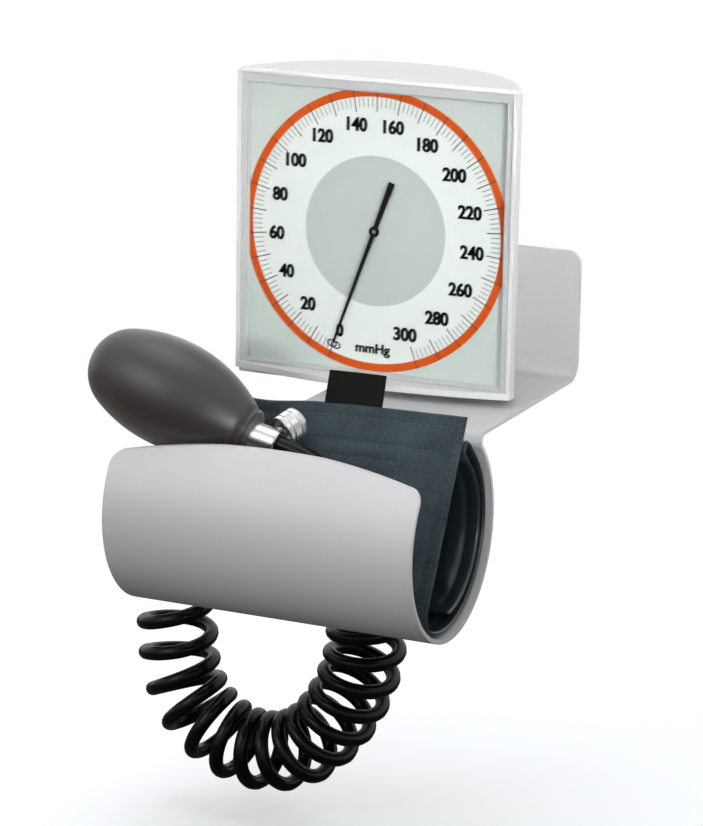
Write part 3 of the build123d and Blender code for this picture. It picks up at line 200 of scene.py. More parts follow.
def smooth_step(value):
    """Ease from 0 to 1."""
    value = min(max(value, 0.0), 1.0)
    return value * value * (3 - 2 * value)


hose_end = [(0, -0.0560, -0.0500), (0, -0.0560, -0.0440), (0, -0.0560, -0.0383)]
hose_tail = [
    (-0.0880, -0.1549, -0.0718), (-0.0896, -0.1423, -0.0693), (-0.0910, -0.1310, -0.0675),
    (-0.0969, -0.1146, -0.0692), (-0.1018, -0.1000, -0.0755), (-0.1042, -0.0915, -0.0900),
    (-0.1049, -0.0876, -0.1020),
]
coil_route = [
    (-0.1055, -0.0850, -0.1090), (-0.1071, -0.0778, -0.1260), (-0.1067, -0.0760, -0.1428),
    (-0.1072, -0.0760, -0.1561), (-0.1054, -0.0760, -0.1708), (-0.1048, -0.0760, -0.1862),
    (-0.1007, -0.0760, -0.2001), (-0.0944, -0.0760, -0.2109), (-0.0846, -0.0760, -0.2200),
    (-0.0726, -0.0760, -0.2262), (-0.0596, -0.0760, -0.2289), (-0.0462, -0.0760, -0.2274),
    (-0.0336, -0.0760, -0.2221), (-0.0240, -0.0760, -0.2138), (-0.0148, -0.0760, -0.2022),
    (-0.0079, -0.0760, -0.1894), (-0.0032, -0.0760, -0.1772), (-0.0007, -0.0760, -0.1637),
    (0.0001, -0.0760, -0.1506), (0.0006, -0.0740, -0.1310), (0.0003, -0.0690, -0.1080),
    (0.0001, -0.0610, -0.0850), (0.0000, -0.0560, -0.0680), (0.0000, -0.0560, -0.0520),
]
LEFT_PLACE, RIGHT_PLACE = Vector(coil_route[2]), Vector(coil_route[18])
HOSE_RADIUS, CURL_RADIUS, POINTS_PER_CURL = 0.00365, 0.0170, 16
PLAIN_LEAD, FULL_CURL = 0.006, 0.019
LEFT_PITCH, PITCH, SETTLED = 0.0180, 0.0132, 0.45

coil_line = line_of(coil_route)
reach = [0.0]
for start, end in zip(coil_line, coil_line[1:]):
    reach.append(reach[-1] + (end - start).length)
left_mark = min(range(len(coil_line)), key=lambda index: (coil_line[index] - LEFT_PLACE).length)
right_mark = min(range(len(coil_line)), key=lambda index: (coil_line[index] - RIGHT_PLACE).length)

# The curls stand further apart at the left end and close up to an even pitch along the loop.
turns = [0.0]
for index in range(1, len(coil_line)):
    middle = (reach[index - 1] + reach[index]) / 2
    share = (middle - reach[left_mark]) / (reach[right_mark] - reach[left_mark])
    pitch = LEFT_PITCH - (LEFT_PITCH - PITCH) * min(max(share, 0) / SETTLED, 1)
    turns.append(turns[-1] + (reach[index] - reach[index - 1]) / pitch)

# A smooth line runs a little inside its points, so the points lie further out by that share.
flattening = (6 + 2 * math.cos(2 * math.pi / POINTS_PER_CURL)) / 8
first = next(index for index in range(len(reach)) if reach[index] > PLAIN_LEAD)
last = next(index for index in range(len(reach)) if reach[index] > reach[-1] - PLAIN_LEAD)
point_count = round((turns[last] - turns[first]) * POINTS_PER_CURL)
hose_points = hose_tail[:]
index = 0
for step in range(point_count + 1):
    turn = turns[first] + (turns[last] - turns[first]) * step / point_count
    while index < len(turns) - 2 and turns[index + 1] < turn:
        index += 1
    part = (turn - turns[index]) / (turns[index + 1] - turns[index])
    centre = coil_line[index].lerp(coil_line[index + 1], part)
    way = (coil_line[index + 1] - coil_line[index]).normalized()
    side = (Vector((0, 1, 0)) - way * way.y).normalized()
    other = side.cross(way)
    along = reach[index] + (reach[index + 1] - reach[index]) * part
    growth = smooth_step((min(along, reach[-1] - along) - PLAIN_LEAD) / (FULL_CURL - PLAIN_LEAD))
    angle = 2 * math.pi * (turn - turns[left_mark]) - 0.75 * math.pi
    radius = CURL_RADIUS * growth / flattening
    hose_points.append(centre + other * (radius * math.cos(angle)) + side * (radius * math.sin(angle)))
hose_points += hose_end
hose_points.reverse()
coiled_hose = hose_curve("black_coiled_hose", hose_points, HOSE_RADIUS, steps=6, around=5)


def colour_between(tree, low, low_colour, high, high_colour):
    """Node that turns a share into a colour between two."""
    node = add(tree, "ShaderNodeValToRGB")
    for stop, place, colour in zip(node.color_ramp.elements, (low, high), (low_colour, high_colour)):
        stop.position = place
        stop.color = (*colour, 1)
    return node


hose_rubber, tree, shader = new_material(
    "hose_rubber", Specular_IOR_Level=0.10, Coat_Weight=0.22, Coat_Roughness=0.13)
rubber_place = add(tree, "ShaderNodeTexCoord")
bloom = add(tree, "ShaderNodeTexNoise", {"Scale": 160, "Detail": 5})
bloom_colour = colour_between(tree, 0.35, (0.0022, 0.0018, 0.0016), 0.75, (0.0050, 0.0040, 0.0036))
bloom_gloss = add(tree, "ShaderNodeMapRange", {"To Min": 0.24, "To Max": 0.42})
skin = add(tree, "ShaderNodeTexNoise", {"Scale": 1500})
skin_bump = add(tree, "ShaderNodeBump", {"Strength": 0.08, "Distance": 0.0002})
wire(tree, (rubber_place, "Object", bloom, "Vector"), (rubber_place, "Object", skin, "Vector"),
           (bloom, "Fac", bloom_colour, "Fac"), (bloom, "Fac", bloom_gloss, "Value"),
           (bloom_colour, "Color", shader, "Base Color"), (bloom_gloss, "Result", shader, "Roughness"),
           (skin, "Fac", skin_bump, "Height"), (skin_bump, "Normal", shader, "Normal"))

coiled_hose.data.materials.append(hose_rubber)
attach(coiled_hose, "bracket")
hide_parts("coiled_hose", "hose_tail")

# The bulb's hose is a short plain piece of the same black rubber, a little thicker. It bends from the
# valve down to the moulded port on the front of the cuff.
bulb_hose = hose_curve("black_bulb_hose", [
    (-0.00677, -0.1662, -0.04007), (0.0040, -0.1662, -0.0425), (0.0170, -0.1668, -0.0480),
    (0.0270, -0.1685, -0.0595), (0.0330, -0.1707, -0.0731), (0.0330, -0.17768, -0.0864)],
    radius=0.00425, steps=12, around=6)
bulb_hose.data.materials.append(hose_rubber)
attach(bulb_hose, "bracket")
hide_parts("bulb_hose")

# The bracket is one sheet of aluminium, punched, bent and powder coated white all over. The coat
# has a very fine even grain and rounds the sheet's edges.


def node_group(name, inputs, outputs):
    """Empty node group with its named sockets."""
    group = bpy.data.node_groups.new(name, "ShaderNodeTree")
    for socket, kind, value in inputs:
        made = group.interface.new_socket(socket, in_out="INPUT", socket_type=kind)
        made.default_value = value
    for socket, kind in outputs:
        group.interface.new_socket(socket, in_out="OUTPUT", socket_type=kind)
    return group, group.nodes.new("NodeGroupInput"), group.nodes.new("NodeGroupOutput")


COLOUR, NUMBER = "NodeSocketColor", "NodeSocketFloat"
grain_group, grain_in, grain_out = node_group(
    "grain_and_mottle",
    [("Colour", COLOUR, (0.8, 0.8, 0.8, 1)), ("Mottle", NUMBER, 0.04), ("Patch Scale", NUMBER, 20.0),
     ("Grain Scale", NUMBER, 2500.0), ("Gloss", NUMBER, 0.4), ("Gloss Spread", NUMBER, 0.06)],
    [("Colour", COLOUR), ("Roughness", NUMBER), ("Height", NUMBER)])
grain_place = add(grain_group, "ShaderNodeTexCoord")
patches = add(grain_group, "ShaderNodeTexNoise", {"Detail": 6})
grains = add(grain_group, "ShaderNodeTexNoise", {"Detail": 2})
patch_middle = add(grain_group, "ShaderNodeMath", {1: 0.5}, operation="SUBTRACT")
patch_share = add(grain_group, "ShaderNodeMath", {2: 1.0}, operation="MULTIPLY_ADD")
tinted = add(grain_group, "ShaderNodeVectorMath", operation="SCALE")
patch_gloss = add(grain_group, "ShaderNodeMath", operation="MULTIPLY_ADD")
wire(grain_group, (grain_place, "Object", patches, "Vector"), (grain_place, "Object", grains, "Vector"),
                  (grain_in, "Patch Scale", patches, "Scale"), (grain_in, "Grain Scale", grains, "Scale"),
                  (patches, "Fac", patch_middle, 0), (patch_middle, "Value", patch_share, 0),
                  (grain_in, "Mottle", patch_share, 1), (grain_in, "Colour", tinted, 0),
                  (patch_share, "Value", tinted, "Scale"), (patch_middle, "Value", patch_gloss, 0),
                  (grain_in, "Gloss Spread", patch_gloss, 1), (grain_in, "Gloss", patch_gloss, 2),
                  (tinted, "Vector", grain_out, "Colour"), (patch_gloss, "Value", grain_out, "Roughness"),
                  (grains, "Fac", grain_out, "Height"))


def grained(name, colour, gloss, mottle, grain_scale, depth, patch_scale=20.0, spread=0.06, metal=0.0,
            sheen=0.5):
    """Material with a fine grain and a slight unevenness of colour and gloss."""
    material, tree, shader = new_material(name, Metallic=metal, Specular_IOR_Level=sheen)
    grain = add(tree, "ShaderNodeGroup", node_tree=grain_group,
                values={"Colour": (*colour, 1), "Mottle": mottle, "Patch Scale": patch_scale,
                        "Grain Scale": grain_scale, "Gloss": gloss, "Gloss Spread": spread})
    bump = add(tree, "ShaderNodeBump", {"Strength": depth, "Distance": 0.0001})
    wire(tree, (grain, "Colour", shader, "Base Color"), (grain, "Roughness", shader, "Roughness"),
               (grain, "Height", bump, "Height"), (bump, "Normal", shader, "Normal"))
    return material


def mesh_piece(name, mesh, material, body, slot, *nodes):
    """Named piece of a mesh, on its body, that stands for some CAD nodes."""
    data = bpy.data.meshes.new(name)
    mesh.to_mesh(data)
    mesh.free()
    piece = bpy.data.objects.new(name, data)
    scene.collection.objects.link(piece)
    piece.data.materials.append(material)
    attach(piece, body)
    if nodes:
        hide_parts(*nodes)
    return piece


def eased_copy(node, name, width, material, body, slot):
    """Copy of a piece whose sharp edges are rounded a little."""
    mesh = bmesh.new()
    mesh.from_mesh(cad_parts[node].data)
    bmesh.ops.remove_doubles(mesh, verts=mesh.verts, dist=0.000002)
    bmesh.ops.dissolve_limit(mesh, angle_limit=math.radians(0.05), verts=mesh.verts, edges=mesh.edges)
    for face in mesh.faces:
        face.smooth = True
    piece = mesh_piece(name, mesh, material, body, slot, node)
    rounding = piece.modifiers.new("rounded_edges", "BEVEL")
    rounding.width = width
    rounding.segments = 3
    rounding.limit_method = "ANGLE"
    rounding.angle_limit = math.radians(38)
    rounding.use_clamp_overlap = True
    shading = piece.modifiers.new("even_shading", "WEIGHTED_NORMAL")
    shading.keep_sharp = True
    return piece


powder_coat = grained("white_powder_coat", (0.63, 0.635, 0.64), 0.42, 0.05, 2600, 0.16)
eased_copy("bracket_sheet", "white_bracket_sheet", 0.0006, powder_coat, "bracket", "bracket_paint")

# The swivel's parts are bought in or turned: a nickel plated hollow bolt and cap, a nylon washer, a
# waved spring washer and a steel nut. A plain aluminium ferrule grips the hose on the bolt's barb.
nickel = grained("polished_nickel", (0.70, 0.71, 0.73), 0.16, 0.05, 900, 0.03, 60, 0.08, 1.0)
plain_steel = grained("turned_steel", (0.50, 0.51, 0.53), 0.32, 0.10, 1600, 0.08, 80, 0.10, 1.0)
natural_nylon = grained("natural_nylon", (0.78, 0.76, 0.68), 0.45, 0.05, 1800, 0.10)
crimped_aluminium = grained("crimped_aluminium", (0.66, 0.67, 0.69), 0.38, 0.08, 2200, 0.12, 60, 0.1, 1.0)
moulded_rubber = grained("moulded_black_rubber", (0.009, 0.008, 0.0075), 0.5, 0.25, 1800, 0.25, 60, 0.12,
                         sheen=0.25)


def finish_nodes(material, *nodes):
    """Give CAD pieces their finish."""
    for node in nodes:
        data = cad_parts[node].data
        data.materials.clear()
        data.materials.append(material)


finish_nodes(nickel, "pivot_bolt", "swivel_cap", "intake_valve")
finish_nodes(plain_steel, "wave_washer", "pivot_nut", "base_screws", "pillar_screws", "angle_screws",
             "pinion_shaft", "sector_shaft", "link_pin", "release_needle", "hairspring")
finish_nodes(natural_nylon, "pivot_washer")
finish_nodes(crimped_aluminium, "hose_ferrule")
finish_nodes(moulded_rubber, "seal_ring", "hose_connector", "cuff_port", "inner_hose")

# The gauge's housing is moulded of white satin plastic: a round backed shell with a flat top, and a
# base plate whose front edge bulges below the window.
white_plastic = grained("white_satin_plastic", (0.71, 0.72, 0.725), 0.36, 0.03, 3200, 0.12)
eased_copy("rear_shell", "white_rear_shell", 0.0007, white_plastic, "head", "housing_plastic")
eased_copy("base_plate", "white_base_plate", 0.0005, white_plastic, "head", "housing_plastic")

# The window's frame is a grey square, moulded of satin plastic and let into the front of the housing. A
# ledge inside it carries the pane.
grey_plastic = grained("grey_satin_plastic", (0.53, 0.55, 0.555), 0.34, 0.03, 3000, 0.10)
eased_copy("window_frame", "grey_window_frame", 0.0003, grey_plastic, "head", "frame_plastic")

# The pane is a flat clear plate that rests on the frame's ledge, with its front edge bevelled. Its glass
# is mixed with a shader that is plainly clear, so that the lamps reach the dial.
PANE_TINT = (0.985, 1.0, 0.993, 1)
pane_glass, tree, shader = new_material(
    "window_glass", Base_Color=PANE_TINT, Roughness=0.0, IOR=1.49, Transmission_Weight=1.0)
light_path = add(tree, "ShaderNodeLightPath")
soft_ray = add(tree, "ShaderNodeMath", operation="MAXIMUM")
most_clear = add(tree, "ShaderNodeMath", {1: 0.85}, operation="MAXIMUM")
clear = add(tree, "ShaderNodeBsdfTransparent", {"Color": PANE_TINT})
choose = add(tree, "ShaderNodeMixShader")
wire(tree, (light_path, "Is Shadow Ray", soft_ray, 0), (light_path, "Is Diffuse Ray", soft_ray, 1),
           (soft_ray, "Value", most_clear, 0), (most_clear, "Value", choose, "Fac"),
           (shader, "BSDF", choose, 1), (clear, "BSDF", choose, 2),
           (choose, "Shader", tree.nodes["Material Output"], "Surface"))
finish_nodes(pane_glass, "window_pane")

# The dial is a painted white plate, printed with an orange ring, a light grey disc, a scale from 0
# to 300 with long marks at the tens, dark numbers, and the box that the pointer rests in at zero.
DIAL_CENTRE = Vector((0, -0.0760, 0.0450))
INK, WINDOW_HALF = 0.00006, 0.0672
# The plate's paint is set greyer and greener than the printed white ground: painted shade from the frame's
# edge and a painted green reflection of the pane.
dial_plate_paint_with_painted_shade = grained("dial_paint_with_painted_shade", (0.64, 0.685, 0.66), 0.5, 0.02, 3000, 0.05)
finish_nodes(dial_plate_paint_with_painted_shade, "dial_plate")


def printed(name, colour, mesh, layer):
    """Print of one ink: a flat drawing in X and Y is turned upright and laid just off the dial."""
    place = (Matrix.Translation(DIAL_CENTRE - Vector((0, INK * layer, 0)))
             @ Matrix.Rotation(math.pi / 2, 4, "X"))
    bmesh.ops.transform(mesh, matrix=place, verts=mesh.verts)
    ink = grained("ink_" + name, colour, 0.45, 0.03, 3500, 0.05, sheen=0.2)
    mesh_piece("dial_" + name, mesh, ink, "head", "dial_paint")


def clip(mesh):
    """Cut a flat print off at both sides, where the frame would hide it."""
    for side in (-1, 1):
        geometry = mesh.verts[:] + mesh.edges[:] + mesh.faces[:]
        bmesh.ops.bisect_plane(mesh, geom=geometry, plane_co=(side * WINDOW_HALF, 0, 0),
                               plane_no=(side, 0, 0), clear_outer=True)


def dial_angle(value):
    """Way of a pressure on the dial: zero is at the lower left, and 300 is 320 degrees on."""
    return math.radians(250 - value * 320 / 300)


ground = bmesh.new()
bmesh.ops.create_circle(ground, cap_ends=True, segments=240, radius=0.0651)
printed("white_ground", (0.87, 0.885, 0.88), ground, 1)

ring = bmesh.new()
for radius in (0.0650, 0.0690):
    bmesh.ops.create_circle(ring, segments=240, radius=radius)
bmesh.ops.bridge_loops(ring, edges=ring.edges)
clip(ring)
printed("orange_ring", (0.68, 0.088, 0.008), ring, 2)

disc = bmesh.new()
bmesh.ops.create_circle(disc, cap_ends=True, segments=180, radius=0.0366)
printed("grey_disc", (0.57, 0.605, 0.605), disc, 2)


def scale_marks(values, inner_radius, outer_radius, width):
    """Radial marks at some pressures."""
    marks = bmesh.new()
    for value in values:
        made = bmesh.ops.create_grid(marks, x_segments=1, y_segments=1, size=0.5)["verts"]
        place = (Matrix.Rotation(dial_angle(value), 4, "Z")
                 @ Matrix.Translation(((inner_radius + outer_radius) / 2, 0, 0))
                 @ Matrix.Diagonal((outer_radius - inner_radius, width, 1, 1)))
        bmesh.ops.transform(marks, matrix=place, verts=made)
    clip(marks)
    return marks


tens = range(0, 301, 10)
between = [value for value in range(0, 301, 2) if value not in tens]
printed("fine_marks", (0.24, 0.24, 0.24), scale_marks(between, 0.0600, 0.0647, 0.00036), 3)
printed("long_marks", (0.055, 0.045, 0.04), scale_marks(tens, 0.0580, 0.0690, 0.00050), 3)


def lettering(words, height, width, centre, target):
    """Set plain bold type of a height and width about a place, into a mesh."""
    curve = bpy.data.curves.new("type", "FONT")
    curve.body = words
    curve.offset = 0.030
    curve.resolution_u = 6
    holder = bpy.data.objects.new("type", curve)
    scene.collection.objects.link(holder)
    data = bpy.data.meshes.new_from_object(holder)
    part = bmesh.new()
    part.from_mesh(data)
    bpy.data.meshes.remove(data)
    bpy.data.objects.remove(holder)
    bpy.data.curves.remove(curve)
    low = Vector((min(v.co.x for v in part.verts), min(v.co.y for v in part.verts), 0))
    high = Vector((max(v.co.x for v in part.verts), max(v.co.y for v in part.verts), 0))
    size = height / (high.y - low.y)
    place = (Matrix.Translation((centre[0], centre[1], 0))
             @ Matrix.Diagonal((width / (high.x - low.x), size, 1, 1))
             @ Matrix.Translation(-(low + high) / 2))
    bmesh.ops.transform(part, matrix=place, verts=part.verts)
    bmesh.ops.triangulate(part, faces=part.faces)
    data = bpy.data.meshes.new("type")
    part.to_mesh(data)
    part.free()
    target.from_mesh(data)
    bpy.data.meshes.remove(data)


# Each word is set three times side by side, which makes its strokes bold. A one is a narrow digit.
STROKE, DIGIT, SLIM_ONE, DIGIT_HEIGHT = 0.00022, 0.0041, 0.0014, 0.0068
numbers = bmesh.new()
for shift in (-STROKE, 0, STROKE):
    for value in range(20, 301, 20):
        words = str(value)
        width = DIGIT * len(words) - (SLIM_ONE if "1" in words else 0) - 0.0004
        angle = dial_angle(value)
        centre = (0.0515 * math.cos(angle) - 0.0008 + shift, 0.0520 * math.sin(angle))
        lettering(words, DIGIT_HEIGHT, width, centre, numbers)
    lettering("0", 0.0066, 0.0036, (-0.0176 + shift, -0.0504), numbers)
    lettering("mmHg", 0.0064, 0.0182, (shift / 2, -0.0584), numbers)
printed("numbers", (0.010, 0.008, 0.032), numbers, 3)

zero_box = bmesh.new()
for shift in (-0.0011, 0.0011):
    edge_loops = []
    for width in (0.0019, 0.0012):
        loop = bmesh.ops.create_circle(zero_box, segments=40, radius=1.0)["verts"]
        place = (Matrix.Translation((-0.0207, -0.0577, 0)) @ Matrix.Rotation(math.radians(-20), 4, "Z")
                 @ Matrix.Translation((shift, 0, 0)) @ Matrix.Diagonal((width + 0.0008, width, 1, 1)))
        bmesh.ops.transform(zero_box, matrix=place, verts=loop)
        edge_loops += {edge for vertex in loop for edge in vertex.link_edges}
    bmesh.ops.bridge_loops(zero_box, edges=edge_loops)
printed("zero_box", (0.012, 0.010, 0.035), zero_box, 3)

# The pointer is a strip of thin sheet, stamped together with its hub and painted matt black. A brass
# bush carries it on the pinion's shaft.
pointer_black = grained("matt_black_paint", (0.008, 0.008, 0.009), 0.5, 0.1, 3000, 0.08, sheen=0.12)
finish_nodes(pointer_black, "pointer")

# Behind the dial the movement is brass: two plates on turned pillars, the toothed sector and its
# pinion, the rocker with its link, and the ribbed capsule on its angle.
brushed_brass = grained("brushed_brass", (0.62, 0.45, 0.19), 0.30, 0.12, 1400, 0.12, 90, 0.12, 1.0)
spun_bronze = grained("spun_bronze", (0.66, 0.47, 0.26), 0.22, 0.10, 700, 0.05, 120, 0.10, 1.0)
finish_nodes(brushed_brass, "movement_plate", "bridge_plate", "pillars", "dial_posts", "sector_gear",
             "rocker_arm", "lift_link", "capsule_boss", "capsule_angle", "inlet_nut", "capsule_inlet",
             "pointer_bush")
finish_nodes(spun_bronze, "pressure_capsule")

# The cuff is one long strip of close woven nylon, padded, hemmed and stitched along its edges. It is
# rolled into the basket, and its end flap stands up in front.


def strip_middle(start, heading, moves, steps):
    """Points of a strip's middle line in Y and Z, with its heading and the length so far.

    A move is a straight run, or an arc's radius and its turn in degrees.
    """
    y, z = start
    marks = [(y, z, heading, 0.0)]
    length = 0.0
    for move, count in zip(moves, steps):
        for _ in range(count):
            if len(move) == 1:
                run = move[0] / count
                y += run * math.cos(heading)
                z += run * math.sin(heading)
                length += run
            else:
                radius, turn = move[0], math.radians(move[1]) / count
                way = math.copysign(radius, turn)
                centre_y, centre_z = y - way * math.sin(heading), z + way * math.cos(heading)
                heading += turn
                y, z = centre_y + way * math.sin(heading), centre_z - way * math.cos(heading)
                length += radius * abs(turn)
            marks.append((y, z, heading, length))
    return marks


cuff_left, cuff_right = -0.0760, 0.0755
outer_layer, fold, inner_layer = 0.0442, (0.0032, 180), (0.0378, -130)
left_moves = [(0.088832,), (0.009, 99.473), (outer_layer, 154.727), (0.005,), fold, (0.005,), inner_layer]
right_moves = [(0.090780,), (0.009, 94.363), (outer_layer, 157.587), (0.0105,), fold, (0.0105,), inner_layer]
cuff_steps = [60, 10, 70, 5, 8, 6, 60]
left_line = strip_middle((-0.1334, -0.0272), math.radians(240.8), left_moves, cuff_steps)
right_line = strip_middle((-0.1374, -0.0235), math.radians(243.05), right_moves, cuff_steps)
rows, columns = len(left_line), 110
cuff_length = (left_line[-1][3] + right_line[-1][3]) / 2
cuff_width = cuff_right - cuff_left


def bell(value, width):
    """Smooth bump of height 1 about zero."""
    return math.exp(-(value / width) ** 2)


# Each seam is a stitched line on the cuff: its start and end, across from the left edge and along from
# the flap's top edge. Two run round the hem, and three hold the pocket of the air bladder.
SEAM_WIDTH, SEAM_DEPTH = 0.0011, 0.00085
seams = []
for inset in (0.0026, 0.0060):
    seams += [((inset, inset), (cuff_width - inset, inset)), ((inset, inset), (inset, cuff_length - inset)),
              ((cuff_width - inset, inset), (cuff_width - inset, cuff_length - inset))]
seams += [((0.0795, 0.0182), (0.1430, 0.0182)), ((0.0810, 0.0253), (0.1210, 0.0253)),
          ((0.1225, 0.0210), (0.1225, 0.0420))]


def seam_pull(across, along):
    """How far a stitched line nearby draws the padding in, from 0 to 1."""
    pull = 0.0
    for (start_x, start_y), (end_x, end_y) in seams:
        beyond_x = max(start_x - across, across - end_x, 0)
        beyond_y = max(start_y - along, along - end_y, 0)
        pull = max(pull, bell(math.hypot(beyond_x, beyond_y), SEAM_WIDTH))
    return pull


HALF_HEM, PADDING, SAG, INNER_END = 0.0013, 0.0010, 0.0024, 0.245


def cuff_place(row, share, side):
    """Point of the cuff's front or back skin, at a row along it and a share of its width."""
    low = min(int(row), len(left_line) - 2)
    part = row - low
    left = [a + (b - a) * part for a, b in zip(left_line[low], left_line[low + 1])]
    right = [a + (b - a) * part for a, b in zip(right_line[low], right_line[low + 1])]
    y = left[0] + (right[0] - left[0]) * share
    z = left[1] + (right[1] - left[1]) * share
    heading = left[2] + (right[2] - left[2]) * share
    along = (left[3] + right[3]) / 2
    across = share * cuff_width
    edge = min(across, cuff_width - across, along, cuff_length - along)
    half = HALF_HEM + PADDING * smooth_step((edge - 0.005) / 0.010)
    half -= SEAM_DEPTH * seam_pull(across, along)
    half *= smooth_step(edge / 0.0012 + 0.25)
    inner_end = smooth_step((along - INNER_END) / 0.03)
    place = Vector((cuff_left + across, y, z))
    droop = SAG * bell(across - 0.047, 0.020) * bell(along, 0.030)
    soft = noise.noise(Vector((across * 26, along * 17, 3.0))) * (0.0007 - 0.0003 * inner_end)
    folds = noise.noise(Vector((across * 30 + along * 12, along * 95 - across * 22, 5.0)))
    folds = folds * 0.0020 * inner_end
    fine = noise.noise(Vector((across * 85, along * 60, 9.0))) * 0.00026
    crease = -abs(noise.noise(Vector((across * 34 + along * 20, along * 30, 14.0)))) * 0.0007
    out = side * half + (soft + fine + folds + crease) * smooth_step((edge - 0.001) / 0.012)
    return place + Vector((0, -math.sin(heading), math.cos(heading))) * out - Vector((0, 0, droop))


cuff_mesh = bmesh.new()
pattern = cuff_mesh.loops.layers.uv.new("cloth")
where = {}
for side in (-1, 1):
    skin = bmesh.ops.create_grid(cuff_mesh, x_segments=rows - 1, y_segments=columns, size=1.0)["verts"]
    skin.sort(key=lambda vertex: (round(vertex.co.x, 6), round(vertex.co.y, 6)))
    for index, vertex in enumerate(skin):
        row, column = divmod(index, columns + 1)
        where[vertex] = (row, column)
        vertex.co = cuff_place(row, column / columns, side)
inner_skin, folded_in = set(skin), rows - cuff_steps[-1] - 4
for face in cuff_mesh.faces:
    face.smooth = True
    coated = face.verts[0] in inner_skin or min(where[vertex][0] for vertex in face.verts) >= folded_in
    face.material_index = int(coated)
rims = [edge for edge in cuff_mesh.edges if edge.is_boundary]
bmesh.ops.bridge_loops(cuff_mesh, edges=rims)
for face in cuff_mesh.faces:
    for loop in face.loops:
        row, column = where[loop.vert]
        along = (left_line[row][3] + right_line[row][3]) / 2
        loop[pattern].uv = (column / columns * cuff_width, along)
bmesh.ops.recalc_face_normals(cuff_mesh, faces=cuff_mesh.faces)

nylon, tree, shader = new_material(
    "slate_nylon_cloth", Roughness=0.5, Specular_IOR_Level=0.22, Sheen_Weight=0.06, Sheen_Roughness=0.4,
    Sheen_Tint=(0.55, 0.68, 0.78, 1))
cloth_place = add(tree, "ShaderNodeUVMap", uv_map="cloth")
turned_cloth = add(tree, "ShaderNodeMapping", {"Rotation": (0, 0, math.radians(58))})
twill = add(tree, "ShaderNodeTexWave",
            {"Scale": 420, "Distortion": 2.2, "Detail": 2.0, "Detail Scale": 3.0})
cross_threads = add(tree, "ShaderNodeTexWave", {"Scale": 520, "Distortion": 1.2}, bands_direction="Y")
slubs = add(tree, "ShaderNodeTexNoise", {"Scale": 620, "Detail": 4, "Roughness": 0.65})
worn = add(tree, "ShaderNodeTexNoise", {"Scale": 42, "Detail": 5})
weave = add(tree, "ShaderNodeMix", {"Factor": 0.35})
weave_and_slubs = add(tree, "ShaderNodeMix", {"Factor": 0.5})
shade = add(tree, "ShaderNodeMix", {"Factor": 0.45})
cloth_colour = colour_between(tree, 0.34, (0.0065, 0.0135, 0.0175), 0.66, (0.052, 0.080, 0.094))
cloth_bump = add(tree, "ShaderNodeBump", {"Strength": 0.8, "Distance": 0.00025})
wire(tree, (cloth_place, "UV", turned_cloth, "Vector"), (turned_cloth, "Vector", twill, "Vector"),
           (cloth_place, "UV", cross_threads, "Vector"), (cloth_place, "UV", slubs, "Vector"),
           (cloth_place, "UV", worn, "Vector"), (twill, "Fac", weave, "A"),
           (cross_threads, "Fac", weave, "B"), (weave, "Result", weave_and_slubs, "A"),
           (slubs, "Fac", weave_and_slubs, "B"), (weave_and_slubs, "Result", shade, "A"),
           (worn, "Fac", shade, "B"), (shade, "Result", cloth_colour, "Fac"),
           (cloth_colour, "Color", shader, "Base Color"), (weave_and_slubs, "Result", cloth_bump, "Height"),
           (cloth_bump, "Normal", shader, "Normal"))
cuff = mesh_piece("slate_cuff", cuff_mesh, nylon, "bracket", "cuff_fabric", "cuff_roll", "bladder")

# Its inner side and its folded end are coated to hold air, so they are smoother and catch the light
# in their creases.
lining = grained("coated_cuff_lining", (0.012, 0.020, 0.024), 0.30, 0.35, 900, 0.10, 60, 0.14, sheen=0.75)
cuff.data.materials.append(lining)

# The seams are sewn through with a thread a little paler than the cloth, in even stitches that show
# on both skins.
STITCH_STEP, STITCH_LENGTH, THREAD = 0.0033, 0.0024, 0.00028


def cuff_row(along):
    """Row of the cuff's middle line at a length from the flap's top edge."""
    lengths = [(left[3] + right[3]) / 2 for left, right in zip(left_line, right_line)]
    row = max(index for index, length in enumerate(lengths) if length <= along)
    if row == len(lengths) - 1:
        return float(row)
    return row + (along - lengths[row]) / (lengths[row + 1] - lengths[row])


stitches = bmesh.new()
for (start_x, start_y), (end_x, end_y) in seams:
    seam_length = math.hypot(end_x - start_x, end_y - start_y)
    seam = bmesh.new()
    for index in range(int(seam_length / STITCH_STEP)):
        marks = []
        for reach_along in (index * STITCH_STEP, index * STITCH_STEP + STITCH_LENGTH):
            part = reach_along / seam_length
            marks.append((start_x + (end_x - start_x) * part, start_y + (end_y - start_y) * part))
        for side in (-1, 1):
            start, end = [cuff_place(cuff_row(along), across / cuff_width, side) for across, along in marks]
            made = bmesh.ops.create_uvsphere(seam, u_segments=6, v_segments=4, radius=1.0)["verts"]
            turn = (end - start).to_track_quat("Z", "Y").to_matrix().to_4x4()
            size = Matrix.Diagonal((THREAD, THREAD, (end - start).length / 2, 1))
            bmesh.ops.transform(seam, matrix=Matrix.Translation((start + end) / 2) @ turn @ size, verts=made)
    seam_data = bpy.data.meshes.new("seam")
    seam.to_mesh(seam_data)
    seam.free()
    stitches.from_mesh(seam_data)
    bpy.data.meshes.remove(seam_data)
for face in stitches.faces:
    face.smooth = True
thread = grained("slate_thread", (0.066, 0.088, 0.098), 0.6, 0.3, 4000, 0.2, 300, sheen=0.3)
mesh_piece("cuff_stitches", stitches, thread, "bracket", "cuff_fabric")

